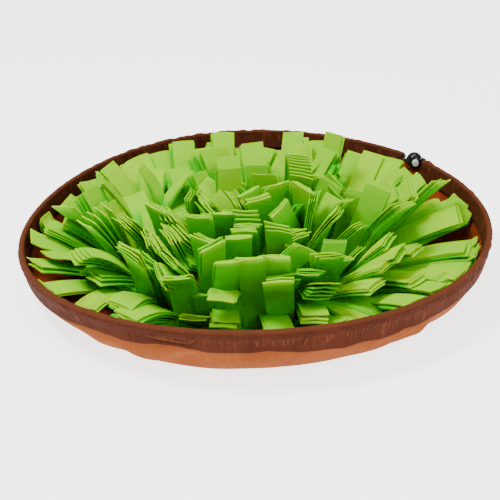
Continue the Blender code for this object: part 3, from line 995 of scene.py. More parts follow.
socket_radius = BUTTON_RADIUS + SOCKET_GAP
slot_half = CORD_RADIUS + SOCKET_GAP
button_back = slot_half + BUTTON_BAR
socket_end = button_back + BUTTON_TRAVEL + SOCKET_FLOOR
mouth = math.degrees(math.asin(socket_radius / LOCK_RADIUS))
ball_profile = [(0, socket_end), (socket_radius - SOCKET_LIP, socket_end)]
ball_profile += [(socket_radius, socket_end - SOCKET_LIP)]
ball_profile += [(socket_radius, -LOCK_RADIUS * math.cos(math.radians(mouth)) + SOCKET_LIP)]
ball_profile += rounded((0, 0), LOCK_RADIUS, -90 + mouth + 3, 90, 26)
lock_ball = turned("cord_lock_ball", ball_profile, lock_black)
lock_ball = cut(lock_ball, rod(CORD_HOLE_RADIUS, 4 * LOCK_RADIUS, Vector((1, 0, 0))))

front = -LOCK_RADIUS - BUTTON_PROUD
edge = BUTTON_EDGE
button_profile = [(0, front - 0.0003), (1.4 * edge, front - 0.00025)]
button_profile += rounded((BUTTON_RADIUS - edge, front + edge), edge, -90, 0, 6)
button_profile += rounded((BUTTON_RADIUS - edge, button_back - edge), edge, 0, 90, 4)
button_profile += [(0, button_back)]
lock_button = turned("cord_lock_push_button", button_profile, button_grey, 48)
print("lock centre in mm:", [round(1000 * value, 1) for value in lock_centre])

# %% [markdown]
# The button's slot is longer than the cord is wide, so the button can travel with the cord in it.


# %% Slot of the button
def block(low, high):
    """A box between two corners, measured from the lock's centre."""
    bm = bmesh.new()
    bmesh.ops.create_cube(bm, size=1)
    bmesh.ops.scale(bm, verts=bm.verts, vec=Vector(high) - Vector(low))
    bmesh.ops.translate(bm, verts=bm.verts, vec=(Vector(low) + Vector(high)) / 2 + lock_centre)
    return object_from(bm, "block")


slot_length = BUTTON_TRAVEL + 2 * slot_half
half_way = 2 * BUTTON_RADIUS
slot = block((-half_way, slot_half - slot_length, -slot_half), (half_way, slot_half, slot_half))
lock_button = cut(lock_button, slot)
for piece, body, node, finish_slot in (
    (lock_ball, "root", "cord_lock_body", "black_plastic"),
    (lock_button, "button", "cord_lock_button", "grey_plastic"),
):
    piece.data.shade_smooth()
    piece.data.set_sharp_from_angle(angle=math.radians(35))
    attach(piece, body)
    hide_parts(node)
print("ball faces:", len(lock_ball.data.polygons), "button faces:", len(lock_button.data.polygons))

# %% [markdown]
# ## How a felt leaf stands
#
# A leaf is a strip, 24 mm wide and 90 mm long, sewn at its root to a ring of tape. Felt bends easily over
# its width and twists a little, but it doesn't bend in its own plane. So a leaf is a walk: start at the
# root with three axes (onward, through, across), and at each step turn them a little about `across` to
# bend and about `onward` to twist. The wall is in the way of the low ones, so a step that would end in the
# wall turns upwards instead.

# %% Leaf walk
TAPE_THICKNESS = 0.0015
REST_GAP = 0.0003
TAPE_TOP = BOWL_CLOTH + REST_GAP + TAPE_THICKNESS
LEAF_THICKNESS = 0.0011
LEAF_WIDTH = 0.0248
WALL_CLEARANCE = 0.003
FLOOR_CLEARANCE = 0.0035
LEAF_STEPS = 9
# How the wall's inner side swells, its foot, and how a step turns away from the wall.
WALL_SWELL = 1.7
FOOT_ROOM = 0.004
WALL_TURNS = 12
WALL_TURN = math.radians(7)
Leaf = namedtuple("Leaf", "root facing lean droop tilt twist length")


def wall_radius(azimuth, height):
    """Inner radius of the bowl at a height."""
    radius, top = casing_line(azimuth, 0)
    share = min(max(height / (top - DROP), 0.0), 1.0)
    flare = 1 - (1 - share) ** WALL_SWELL
    foot = BASE_RADIUS + FOOT_ROOM
    return foot + (radius - CASING_LEAN - foot) * flare - ARCH * share


def walk(leaf):
    """Points and through-vectors along a leaf, from its root to its tip."""
    facing = math.radians(leaf.facing)
    level = Vector((math.cos(facing), math.sin(facing), 0))
    across = Vector((-math.sin(facing), math.cos(facing), 0))
    lean = math.radians(leaf.lean)
    onward = math.sin(lean) * level + Vector((0, 0, math.cos(lean)))
    through = across.cross(onward)
    tilt = Matrix.Rotation(math.radians(leaf.tilt), 3, through)
    onward, across = tilt @ onward, tilt @ across
    step = leaf.length / LEAF_STEPS
    points, faces = [leaf.root.copy()], [through.copy()]
    for k in range(LEAF_STEPS):
        bend = math.radians(leaf.droop) / LEAF_STEPS * (0.5 + k / LEAF_STEPS)
        turn = Matrix.Rotation(bend, 3, across)
        onward, through = turn @ onward, turn @ through
        turn = Matrix.Rotation(math.radians(leaf.twist) / LEAF_STEPS, 3, onward)
        across, through = turn @ across, turn @ through
        for _ in range(WALL_TURNS):
            place = points[-1] + onward * step
            angle = math.degrees(math.atan2(place.y, place.x))
            free = math.hypot(place.x, place.y) < wall_radius(angle, place.z) - WALL_CLEARANCE
            if free and place.z > FLOOR_CLEARANCE:
                break
            side = onward.cross(Vector((0, 0, 1))).normalized()
            turn = Matrix.Rotation(WALL_TURN, 3, side)
            onward, through, across = turn @ onward, turn @ through, turn @ across
        points.append(points[-1] + onward * step)
        faces.append(through.copy())
    return points, faces


print("tape top at", round(1000 * TAPE_TOP, 1), "mm")

# %% [markdown]
# ## Stacks of leaves
#
# The leaves are sewn on in stacks, like the pages of small books, on four rings of tape. Where a stack
# leans is an accident of how the mat was last used, so the ones that show most are posed, one row
# each: the ring, the number of pages, whether the next pages lie outwards (+1) or inwards (-1), and the
# pose of the first page. A few rows give the last page too, where a stack opens like a fan.

# %% Posed stacks
# A pose: azimuth, radius (mm), turn, lean, droop, tilt, twist, length (mm). Angles are in degrees; turn is
# measured from straight outwards, and lean from straight up.
Pose = namedtuple("Pose", "azimuth radius turn lean droop tilt twist length")
POSED = (
    # Back, left to right
    ("outer", 2, +1, (143, 137, 5, 32, 14, -6, -1, 91)),
    ("outer", 1, +1, (149, 141, 43, 24, 10, -13, 1, 98)),
    ("outer", 2, +1, (137, 141, -25, 50, 16, -8, -7, 93)),
    ("outer", 2, +1, (134, 142, -30, 47, 16, -12, -9, 94)),
    ("outer", 2, +1, (128, 141, -25, 49, 15, -3, -4, 94)),
    ("outer", 3, +1, (123, 138, -26, 39, 13, 1, -2, 94)),
    ("outer", 2, +1, (109, 140, -20, 49, 16, 1, -3, 93)),
    ("outer", 2, +1, (105, 138, -12, 36, 12, 3, -0, 94)),
    ("middle", 2, +1, (86, 93, 5, 35, 9, -4, -2, 94)),
    ("middle", 1, +1, (104, 94, -62, 36, 10, -5, -7, 94)),
    ("outer", 2, +1, (74, 140, -2, 40, 14, -7, -2, 94), (74, 142, -1, 47, 15, -4, 1, 93)),
    ("outer", 1, +1, (59, 137, 24, 44, 16, -5, 1, 93)),
    ("outer", 1, +1, (56, 140, -11, 9, 11, -2, -2, 91)),
    ("middle", 2, +1, (66, 94, -29, 34, 11, 0, -2, 94)),
    # Left side, back to front
    ("outer", 2, +1, (172, 131, -7, 17, 14, 13, 3, 85)),
    ("outer", 5, +1, (181, 137, -26, 19, 12, 2, -2, 91)),
    ("outer", 2, +1, (166, 144, -25, 43, 15, 11, 0, 92)),
    ("outer", 2, +1, (172, 139, -18, 39, 16, -9, -4, 89)),
    ("outer", 1, -1, (175, 145, 56, 32, 8, 13, 9, 99)),
    ("outer", 1, +1, (182, 146, -13, 57, 16, 11, 5, 98)),
    ("outer", 1, +1, (184, 137, 2, 47, 16, 5, 2, 93)),
    ("outer", 2, +1, (179, 135, -7, 30, 35, -8, 0, 83)),
    ("outer", 2, -1, (183, 145, 4, 52, 14, -11, -5, 102), (183, 142, 19, 54, 13, -17, 12, 98)),
    ("outer", 1, +1, (200, 141, 15, 62, 16, -8, -3, 98)),
    ("outer", 5, -1, (192, 134, 27, 27, 12, -3, 3, 94), (190, 126, 25, 14, 11, -2, -1, 92)),
    ("outer", 5, +1, (203, 129, 3, 31, 50, -4, -4, 90), (209, 128, -10, 20, 51, -4, 9, 85)),
    # Front, left to right
    ("outer", 2, +1, (188, 149, 25, 59, 9, -5, 2, 99)),
    ("outer", 2, +1, (208, 135, 31, 51, 47, 0, 0, 89)),
    ("outer", 3, +1, (219, 135, 34, 39, 50, -4, -13, 95)),
    ("outer", 3, +1, (219, 130, -51, 43, 48, 2, 19, 79)),
    ("outer", 2, +1, (233, 134, -1, 45, 40, -9, -3, 92)),
    ("outer", 4, +1, (218, 133, 11, 26, 13, -17, -7, 100), (219, 139, 16, 21, 12, -13, -2, 104)),
    ("outer", 2, -1, (241, 140, 25, 12, 52, 1, 3, 94)),
    ("outer", 2, -1, (258, 141, 2, -15, 118, -3, 0, 78)),
    ("outer", 2, -1, (236, 131, 0, 16, 12, 0, 0, 36)),
    ("outer", 2, -1, (250, 135, 8, 14, 12, 0, 0, 40)),
    ("middle", 1, +1, (249, 93, 15, 64, 17, -8, -1, 94)),
    ("outer", 3, -1, (258, 137, 21, 2, 44, 0, 2, 95)),
    ("outer", 2, -1, (269, 137, -2, 1, 38, 2, 0, 94)),
    ("outer", 2, -1, (277, 136, -14, 2, 36, -3, -2, 94)),
    ("outer", 2, -1, (279, 136, -7, 29, 13, 4, 0, 94)),
    ("middle", 2, -1, (285, 97, -9, 38, 14, 7, 1, 95), (285, 94, -9, 41, 14, 3, -3, 94)),
    ("middle", 1, +1, (275, 96, -3, 67, 16, -5, -1, 96)),
    ("middle", 3, +1, (298, 94, -22, 63, 16, 1, -4, 96), (296, 100, -21, 65, 16, 1, -5, 96)),
    ("middle", 5, -1, (301, 91, -24, 48, 15, -5, -5, 95), (304, 82, -30, 59, 16, -1, -4, 95)),
    # Right side, front to back
    ("middle", 2, +1, (302, 95, -1, 70, 20, 0, -4, 90)),
    ("middle", 2, +1, (301, 95, 19, 69, 20, 4, 2, 87)),
    ("middle", 2, +1, (303, 96, 21, 53, 19, 5, 0, 87)),
    ("outer", 2, +1, (316, 134, -8, 58, 16, 5, 0, 94)),
    ("outer", 2, +1, (328, 132, -11, 61, 18, 4, -4, 91)),
    ("middle", 2, +1, (331, 99, -13, 62, 17, 3, -0, 94)),
    ("middle", 2, +1, (313, 96, 14, 45, 19, 2, -3, 85)),
    ("middle", 2, +1, (327, 97, 5, 43, 15, 11, 4, 93)),
    ("outer", 2, +1, (340, 133, -11, 65, 20, 2, -4, 89)),
    ("outer", 2, +1, (346, 136, -3, 65, 19, 13, 6, 91)),
    ("outer", 2, +1, (349, 141, -5, 65, 18, 5, 0, 93)),
    ("outer", 2, +1, (354, 138, -7, 66, 19, -6, -7, 91)),
    ("outer", 2, +1, (350, 133, -5, 60, 20, 2, -2, 88)),
    ("outer", 1, +1, (3, 141, 35, 58, 18, 23, 14, 95)),
    ("outer", 1, +1, (13, 140, 22, 54, 18, 27, 12, 95)),
    ("outer", 2, +1, (8, 133, 10, 48, 18, 26, 9, 91)),
    ("outer", 2, -1, (14, 142, -47, 33, 12, -14, -8, 98)),
    ("outer", 2, +1, (22, 136, -7, 30, 17, 7, -1, 84)),
    ("outer", 3, -1, (39, 138, 11, 61, 22, 13, 13, 90), (38, 132, 10, 51, 21, 21, 22, 92)),
    ("outer", 3, +1, (38, 142, 15, 52, 16, 1, 1, 94)),
    ("outer", 2, +1, (42, 137, 28, 47, 19, 8, 5, 93)),
    # Behind the front, left to right
    ("middle", 3, +1, (206, 99, 8, 57, 17, -1, 1, 91), (206, 106, 11, 58, 18, -4, 2, 91)),
    ("middle", 3, -1, (189, 100, 26, 28, 12, -9, -0, 95)),
    ("middle", 2, +1, (176, 98, -62, 54, 18, -2, -13, 94)),
    ("middle", 3, -1, (177, 92, 50, 19, 11, -14, 2, 93)),
    ("inner", 4, -1, (179, 59, 16, 24, 15, -15, 1, 92), (177, 53, 20, 22, 15, -20, 1, 92)),
    ("inner", 5, -1, (203, 57, 2, 28, 16, -20, -5, 96), (202, 49, 7, 26, 16, -21, 2, 90)),
    ("middle", 2, +1, (228, 92, -21, 23, 12, -13, -6, 97)),
    ("middle", 2, +1, (237, 94, -22, 28, 13, -16, -7, 95)),
    ("middle", 3, +1, (238, 95, -41, 30, 16, -31, -11, 94)),
    ("middle", 2, -1, (240, 92, -4, 15, 12, -9, 0, 91)),
    ("middle", 3, -1, (243, 93, 52, 21, 12, 10, 8, 94)),
    ("inner", 3, -1, (250, 55, 22, 27, 15, 0, 2, 93)),
    ("middle", 2, -1, (282, 93, -13, 29, 13, 2, -1, 94)),
    ("middle", 2, -1, (263, 94, 27, 19, 16, -34, -6, 93)),
    ("inner", 3, -1, (295, 51, -38, 20, 14, -5, -6, 95), (298, 48, -37, 25, 15, -5, -2, 94)),
    ("middle", 3, -1, (313, 95, -40, 33, 13, 4, -3, 93), (314, 92, -37, 37, 14, 1, -0, 93)),
    # Middle of the back, left to right
    ("outer", 2, +1, (152, 137, -53, 49, 20, 12, -2, 93)),
    ("outer", 4, -1, (139, 132, 29, 13, 18, 6, 6, 76), (138, 127, 28, 12, 20, 12, 7, 62)),
    ("middle", 2, +1, (135, 93, -37, 48, 20, -5, -6, 93)),
    ("outer", 4, -1, (146, 137, -122, 34, 19, -8, -14, 81), (148, 140, -123, 31, 21, -10, -13, 63)),
    ("inner", 2, +1, (78, 53, 71, 42, 17, -8, 2, 93)),
    ("inner", 1, +1, (79, 53, 113, 40, 17, -6, 5, 93)),
    ("inner", 3, -1, (112, 53, -17, 33, 6, -2, -3, 95), (114, 49, -20, 51, 9, -1, -3, 94)),
    ("inner", 4, -1, (85, 54, 3, 33, 7, -3, -1, 96), (85, 48, 5, 60, 10, -1, 3, 95)),
    ("middle", 8, -1, (63, 94, 15, -15, 7, 5, 2, 95), (61, 82, 16, -29, 5, 12, -1, 96)),
    ("inner", 2, +1, (14, 55, 19, -19, 10, 14, 5, 98)),
    ("inner", 2, -1, (3, 52, -52, 6, 11, 32, -1, 94)),
    ("middle", 2, -1, (37, 95, -7, -12, 8, 24, 1, 91), (37, 93, -4, -20, 7, 34, 3, 92)),
    ("inner", 2, -1, (335, 51, -1, 23, 18, -16, -5, 91)),
    ("inner", 2, +1, (321, 51, 20, 20, 20, 4, -4, 90)),
    ("middle", 3, +1, (348, 94, 76, 6, 8, 18, 8, 94)),
    ("middle", 3, +1, (13, 97, 1, 22, 12, 22, 5, 94)),
    ("middle", 3, -1, (357, 100, -41, 34, 11, -6, -4, 100)),
    # Centre
    ("inner", 2, -1, (192, 55, 63, 25, 14, -6, 5, 95)),
    ("centre", 2, -1, (180, 24, 76, 26, 15, -4, 8, 93)),
    ("centre", 4, -1, (210, 16, 52, 22, 14, -6, 6, 94), (190, 14, 73, 31, 15, -9, 6, 93)),
    ("centre", 3, -1, (241, 21, 25, 32, 15, -2, 2, 94)),
    ("centre", 2, +1, (85, 17, 68, 25, 20, -6, 2, 79)),
    ("centre", 3, -1, (99, 19, 98, 14, 14, -15, 3, 88)),
    # Round the centre, and the last one at the back
    ("inner", 3, +1, (48, 52, 122, 29, 26, 12, 4, 85)),
    ("centre", 3, +1, (86, 19, 42, -12, 3, -13, -1, 86)),
    ("centre", 3, -1, (70, 20, -135, 17, 17, 12, -7, 90)),
    ("centre", 2, -1, (61, 21, -110, 10, 13, 0, -6, 91)),
    ("middle", 2, +1, (80, 93, -69, 36, 24, -16, -4, 87)),
    ("inner", 2, -1, (343, 52, 6, 5, 11, 4, -3, 86)),
    ("centre", 2, -1, (330, 17, -4, 15, 21, -16, -5, 79)),
    ("inner", 2, -1, (78, 52, -127, 19, 18, -19, -8, 88)),
    ("middle", 3, +1, (103, 94, 36, 30, 11, 9, 4, 91)),
    ("inner", 2, +1, (74, 52, 15, 43, 24, -1, 0, 86)),
    ("inner", 3, +1, (125, 52, -18, 2, 8, 5, 1, 85)),
    ("middle", 2, +1, (82, 93, 28, 35, 26, 6, 1, 85)),
    ("inner", 3, +1, (77, 52, -6, -2, 9, -7, -2, 86)),
    ("inner", 3, +1, (61, 52, 10, -14, 5, -8, -3, 87)),
    ("inner", 2, +1, (3, 54, 35, -11, 14, -5, -1, 86)),
    ("inner", 2, +1, (90, 52, 67, 31, 24, -8, 3, 85)),
    ("inner", 3, +1, (25, 52, 30, 3, 9, 22, 6, 89)),
    ("inner", 2, +1, (330, 53, 63, 20, 18, 1, -0, 85)),
    ("outer", 2, +1, (80, 141, 10, 42, 59, 3, 1, 89)),
)
PAGE_PITCH = 0.0014
PAGES_BEHIND = 2
# From page to page of a posed stack: degrees of lean, and millimetres of length.
PAGE_LEAN = 0.65
PAGE_SHORTER = 0.8
LEAST_UPRIGHT = 0.3
WIDEST_PITCH = 0.0034


def root_pitch(lean):
    """Distance between the roots of two pages, which is larger where the stack leans."""
    return min(PAGE_PITCH / max(math.cos(math.radians(lean)), LEAST_UPRIGHT), WIDEST_PITCH)


def page(pose, out):
    """The leaf of a pose, with its root moved outwards by this much."""
    facing = math.radians(pose.azimuth + pose.turn)
    root = place_at(pose.azimuth, pose.radius / 1000, TAPE_TOP - TAPE_THICKNESS / 2)
    root += out * Vector((math.cos(facing), math.sin(facing), 0))
    angles = (pose.azimuth + pose.turn, pose.lean, pose.droop, pose.tilt, pose.twist)
    return Leaf(root, *angles, pose.length / 1000)


def posed_stack(pages, side, first, fan, draw):
    """The leaves of one posed stack. Pages lie close against each other, with a few hidden ones behind."""
    first = Pose(*first)
    pitch = root_pitch(first.lean)
    leaves = [page(first, 0)]
    if fan:
        last = Pose(*fan[0])
        for k in range(1, pages):
            share = k / (pages - 1)
            pose = Pose(*[a + share * ((b - a + 180) % 360 - 180) for a, b in zip(first, last)])
            leaves.append(page(pose, 0))
        return leaves
    for k in range(1, pages + PAGES_BEHIND):
        pose = first._replace(
            lean=first.lean + side * k * PAGE_LEAN,
            turn=first.turn + draw.uniform(-1.5, 1.5),
            droop=first.droop + draw.uniform(-0.8, 0.8),
            tilt=first.tilt + draw.uniform(-2, 2),
            twist=first.twist + draw.uniform(-0.8, 0.8),
            length=first.length - k * PAGE_SHORTER - draw.uniform(0, 3),
        )
        leaves.append(page(pose, side * k * pitch))
    return leaves


# %% [markdown]
# The rest is filled with stacks of random habit: which way it faces, how it leans, fans and twists, from
# a fixed seed. Several settlings of each are tried, and the best is kept. A good one cuts little into the
# leaves already there, which is how real leaves settle too. It hides none of the posed ones, and it covers
# tape and base that would otherwise lie bare. Near the wall the bowl's cloth does lie bare in a few places.

# %% Filling the rings
LEAF_SEED = 23
TRIES = 16
WORST_CUT = 22
WORST_HIDDEN = 9
BARE_REACH = 0.176
BARE_STEP = 0.012
LEAST_USE = 2
FILLING_LEAN = 2.2
# What a settling costs for each posed point that it hides, and gains for each bare spot that it covers.
HIDING_COST = 3
COVER_GAIN = 4
# Places that stay open count this often, and leaves further left and forward than this count twice.
OPEN_WEIGHT = 10
FRONT_LEFT = (-0.10, -0.06)
# The mat has to look full from the camera and from these places too.
OTHER_EYES = (Vector((0, 0, 1.2)), Vector((-0.6, 0.7, 0.9)), Vector((0.7, 0.6, 0.9)))
# Places low on the wall that are better covered: azimuth, radius.
WALL_AZIMUTHS = (*range(48, 172, 5), *range(226, 350, 5))
WALL_SPOTS = [(azimuth, radius) for azimuth in WALL_AZIMUTHS for radius in (0.186, 0.198)]
# Places on the wall and the lock that stay in sight: azimuth, radius, height.
BACK_RIM = [(azimuth, 0.236, height) for azimuth in range(46, 170, 4) for height in (0.046, 0.055, 0.061)]
LEFT_OPEN = (
    (31, 0.224, 0.02), (27, 0.217, 0.02), (26, 0.230, 0.02), (6, 0.217, 0.02), (2, 0.224, 0.02),
    (359, 0.217, 0.02), (184, 0.216, 0.004), (215, 0.205, 0.012), (219, 0.212, 0.018), (186, 0.200, 0.004),
    (192, 0.226, 0.02), (178, 0.236, 0.02), (172, 0.235, 0.01), (200, 0.190, 0.004), (205, 0.198, 0.01),
    (64, 0.240, 0.02), (38.4, 0.234, 0.045), (38.4, 0.234, 0.055), (40, 0.234, 0.05), (36.6, 0.234, 0.05),
    (39, 0.232, 0.040), (40.5, 0.236, 0.046), (41, 0.236, 0.052),
)
Ring = namedtuple("Ring", "name radius stacks first pages sway turn tilt fan twist length")
FILLINGS = (
    Ring("outer", 0.144, 34, -85.6, 3, 8, 8, 5, 5, 5, 0.088),
    Ring("outer", 0.130, 30, -80.0, 4, 10, 8, 6, 6, 6, 0.086),
    Ring("middle", 0.101, 26, -81.0, 4, 10, 10, 6, 6, 6, 0.084),
    Ring("middle", 0.087, 22, -76.0, 4, 12, 12, 8, 6, 6, 0.082),
    Ring("inner", 0.060, 16, -98.0, 4, 12, 14, 8, 6, 6, 0.080),
    Ring("inner", 0.046, 12, -90.0, 4, 12, 16, 8, 6, 6, 0.080),
    Ring("centre", 0.024, 6, -90.0, 4, 14, 40, 10, 6, 6, 0.078),
    Ring("outer", 0.137, 40, -87.0, 3, 34, 40, 16, 4, 8, 0.060),
    Ring("middle", 0.094, 28, -84.0, 3, 34, 40, 16, 4, 8, 0.060),
    Ring("inner", 0.053, 16, -88.0, 3, 34, 40, 16, 4, 8, 0.060),
)
NAMES = ("outer", "middle", "inner", "centre")


def neighbour(ring, azimuth, draw):
    """The pose of one of the three posed stacks whose roots are nearest."""
    spot = place_at(azimuth, ring.radius, 0.0)
    poses = [Pose(*row[3]) for row in POSED]
    roots = [place_at(pose.azimuth, pose.radius / 1000, 0.0) for pose in poses]
    nearest = sorted(range(len(poses)), key=lambda k: (roots[k] - spot).length)[:3]
    return poses[draw.choice(nearest)]


def loose_stack(ring, azimuth, draw):
    """One settling of a filling stack, innermost page first. It lies much as its neighbours do."""
    like = neighbour(ring, azimuth, draw)
    lean = like.lean + draw.uniform(-ring.sway, ring.sway)
    turn_by = like.azimuth + like.turn - azimuth + draw.uniform(-ring.turn, ring.turn)
    tilt = like.tilt + draw.uniform(-ring.tilt, ring.tilt)
    fan = draw.uniform(-ring.fan, ring.fan)
    twist = like.twist + draw.uniform(-ring.twist, ring.twist)
    droop = like.droop * draw.uniform(0.6, 1.3)
    shift = draw.uniform(-0.003, 0.003)
    length = ring.length - draw.uniform(0, 0.014)
    pitch = root_pitch(lean)
    leaves = []
    for k in range(ring.pages):
        share = k / (ring.pages - 1) - 0.5
        pose = Pose(
            azimuth,
            1000 * (ring.radius + shift),
            turn_by + draw.uniform(-1.5, 1.5),
            lean + FILLING_LEAN * share,
            droop + draw.uniform(-0.8, 0.8),
            tilt + fan * share + draw.uniform(-1.5, 1.5),
            twist + draw.uniform(-0.8, 0.8),
            1000 * (length + draw.uniform(-0.003, 0.002)),
        )
        leaves.append(page(pose, share * (ring.pages - 1) * pitch))
    return leaves


def strip_faces(leaves):
    """The leaves as bare strips, to test what they cut into."""
    points, faces = [], []
    for leaf in leaves:
        line, through = walk(leaf)
        first = len(points)
        for k, (point, face) in enumerate(zip(line, through)):
            onward = line[min(k + 1, len(line) - 1)] - line[max(k - 1, 0)]
            across = face.cross(onward).normalized() * LEAF_WIDTH / 2
            points += [point - across, point + across]
        for k in range(1, len(line) - 1):
            a = first + 2 * k
            faces.append((a, a + 1, a + 3, a + 2))
    return points, faces


def sight_points(leaves):
    """Points on each leaf that would stay in sight, over most of its length."""
    points = []
    for leaf in leaves:
        line, through = walk(leaf)
        for k in range(2, LEAF_STEPS + 1):
            across = through[k].cross(line[k] - line[k - 1]).normalized() * LEAF_WIDTH / 2
            points += [line[k] + side * across for side in (-0.85, 0, 0.85)]
    return points


def covers(tree, point, eye):
    """True if the tree lies between an eye and the point."""
    reach = (point - eye).length
    return tree.ray_cast(eye, (point - eye) / reach, reach - 0.003)[0] is not None


def settle():
    """Places every stack. Returns the leaves of each ring."""
    draw = random.Random(LEAF_SEED)
    placed = {name: [] for name in NAMES}
    shown = []
    for name, pages, side, first, *fan in POSED:
        leaves = posed_stack(pages, side, first, fan, draw)
        placed[name] += leaves
        shown += [leaves[0], leaves[-1]] if fan else [leaves[0]]
    points, faces = strip_faces([leaf for leaves in placed.values() for leaf in leaves])
    tree = BVHTree.FromPolygons(points, faces)
    lens = camera.matrix_world.translation.copy()
    spots = np.arange(-BARE_REACH, BARE_REACH, BARE_STEP)
    floor_spots = [Vector((x, y, TAPE_TOP)) for x in spots for y in spots if math.hypot(x, y) < BARE_REACH]
    bare = [(spot, eye) for eye in (lens, *OTHER_EYES) for spot in floor_spots if not covers(tree, spot, eye)]
    wall_spots = [place_at(azimuth, radius, 0.010) for azimuth, radius in WALL_SPOTS]
    bare += [(spot, lens) for spot in wall_spots if not covers(tree, spot, lens)]
    seen = [spot for spot in sight_points(shown) if not covers(tree, spot, lens)]
    seen += [spot for spot in seen if spot.x < FRONT_LEFT[0] and spot.y < FRONT_LEFT[1]]
    open_places = [place_at(*place) for place in (*LEFT_OPEN, *BACK_RIM)]
    seen += OPEN_WEIGHT * [place for place in open_places if not covers(tree, place, lens)]
    print("points to keep in sight:", len(seen), "bare spots:", len(bare))
    kept = dropped = cuts = 0
    for ring in FILLINGS:
        for k in range(ring.stacks):
            azimuth = ring.first + 360 * k / ring.stacks
            tree = BVHTree.FromPolygons(points, faces)
            best = None
            for _ in range(TRIES):
                leaves = loose_stack(ring, azimuth, draw)
                new_points, new_faces = strip_faces(leaves)
                new_tree = BVHTree.FromPolygons(new_points, new_faces)
                cut_into = len(tree.overlap(new_tree))
                hidden = sum(covers(new_tree, point, lens) for point in seen)
                useful = sum(covers(new_tree, spot, eye) for spot, eye in bare)
                cost = cut_into + HIDING_COST * hidden - COVER_GAIN * useful
                if best is None or cost < best[0]:
                    best = (cost, cut_into, hidden, useful, leaves, new_points, new_faces, new_tree)
            _, cut_into, hidden, useful, leaves, new_points, new_faces, new_tree = best
            if cut_into > WORST_CUT or hidden > WORST_HIDDEN or useful < LEAST_USE:
                dropped += 1
                continue
            kept += 1
            cuts += cut_into
            placed[ring.name] += leaves
            bare = [(spot, eye) for spot, eye in bare if not covers(new_tree, spot, eye)]
            first = len(points)
            points += new_points
            faces += [tuple(first + k for k in face) for face in new_faces]
    print("stacks posed:", len(POSED), "filled in:", kept, "left out:", dropped, end=" ")
    print("cuts:", cuts, "bare:", len(bare))
    print("leaves:", {name: len(leaves) for name, leaves in placed.items()})
    return placed


leaves_by_ring = settle()

# %% [markdown]
# ## Growing the leaves
#
# Geometry Nodes turn the walks into felt. The walks come in as plain edges with two attributes on their
# points: `through`, which way the felt faces, and `reach`, the share of the leaf's length. The tree makes
# them curves, gives the curves their own normals, sweeps a thin rectangle along, and stores what the
# finish reads. Sweeping by hand in a script would work too, but here the width and thickness are inputs
# of the tree, set on its modifier before the modifier is baked.


# %% Sweep tree
def geometry_tree(name, sizes):
    """A Geometry Nodes tree with one geometry input and named sizes."""
    tree = bpy.data.node_groups.new(name, "GeometryNodeTree")
    face = tree.interface
    face.new_socket("Geometry", in_out="OUTPUT", socket_type="NodeSocketGeometry")
    face.new_socket("Geometry", in_out="INPUT", socket_type="NodeSocketGeometry")
    for size in sizes:
        face.new_socket(size, in_out="INPUT", socket_type="NodeSocketFloat")
    return tree, tree.nodes.new("NodeGroupInput"), tree.nodes.new("NodeGroupOutput")


def named(tree, name, kind="FLOAT"):
    node = add_node(tree, "GeometryNodeInputNamedAttribute", {"data_type": kind}, {"Name": name})
    return node.outputs["Attribute"]


def end_tree(tree, geometry, finish, output):
    """Makes the tree's copies real and gives them their finish."""
    real = result(tree, "GeometryNodeRealizeInstances", {"Geometry": geometry})
    dressed = result(tree, "GeometryNodeSetMaterial", {"Geometry": real, "Material": finish.material})
    tree.links.new(dressed, output.inputs[0])


def cupping(tree, wave):
    """How a leaf is lifted along `through`: hollowed over its width, and uneven as a whole."""
    across = named(tree, "across")
    squared = calculate(tree, "MULTIPLY", across, across)
    cup = calculate(tree, "MULTIPLY", squared, named(tree, "cup"))
    noise = add_node(tree, "ShaderNodeTexNoise", {}, {"Scale": 14.0, "Detail": 0.0})
    centred = calculate(tree, "SUBTRACT", noise.outputs["Fac"], 0.5)
    total = calculate(tree, "ADD", cup, calculate(tree, "MULTIPLY", centred, wave))
    inputs = {0: named(tree, "through", "FLOAT_VECTOR"), "Scale": total}
    return result(tree, "ShaderNodeVectorMath", inputs, operation="SCALE")


def leaf_section(tree, width, thickness):
    """A rectangle without its middle points on the narrow sides. It keeps `across`, from -1 to 1."""
    sides = {"Width": thickness, "Height": width}
    section = result(tree, "GeometryNodeCurvePrimitiveQuadrilateral", sides, mode="RECTANGLE")
    halved = result(tree, "GeometryNodeSubdivideCurve", {"Curve": section, "Cuts": 1})
    corner = result(tree, "GeometryNodeInputPosition", {})
    apart = add_node(tree, "ShaderNodeSeparateXYZ", {}, {0: corner})
    flat = calculate(tree, "COMPARE", apart.outputs["X"], 0.0, 0.00001)
    inputs = {"Geometry": halved, "Selection": flat}
    kept = result(tree, "GeometryNodeDeleteGeometry", inputs, domain="POINT")
    half_width = calculate(tree, "MULTIPLY", width, 0.5)
    side = calculate(tree, "DIVIDE", apart.outputs["Y"], half_width)
    inputs = {"Geometry": kept, "Name": "across", "Value": side}
    return result(tree, "GeometryNodeStoreNamedAttribute", inputs, data_type="FLOAT", domain="POINT")


def leaf_tree(finish):
    """Sweeps a thin rectangle along each leaf's line."""
    tree, given, output = geometry_tree("felt_leaves", ("Width", "Thickness", "Wave"))
    lines = result(tree, "GeometryNodeMeshToCurve", {"Mesh": given.outputs["Geometry"]})
    inputs = {"Curve": lines, "Normal": named(tree, "through", "FLOAT_VECTOR")}
    faced = result(tree, "GeometryNodeSetCurveNormal", inputs, mode="FREE")
    profile = leaf_section(tree, given.outputs["Width"], given.outputs["Thickness"])
    inputs = {"Curve": faced, "Profile Curve": profile, "Fill Caps": True}
    swept = result(tree, "GeometryNodeCurveToMesh", inputs)
    inputs = {"Geometry": swept, "Offset": cupping(tree, given.outputs["Wave"])}
    end_tree(tree, result(tree, "GeometryNodeSetPosition", inputs), finish, output)
    return tree


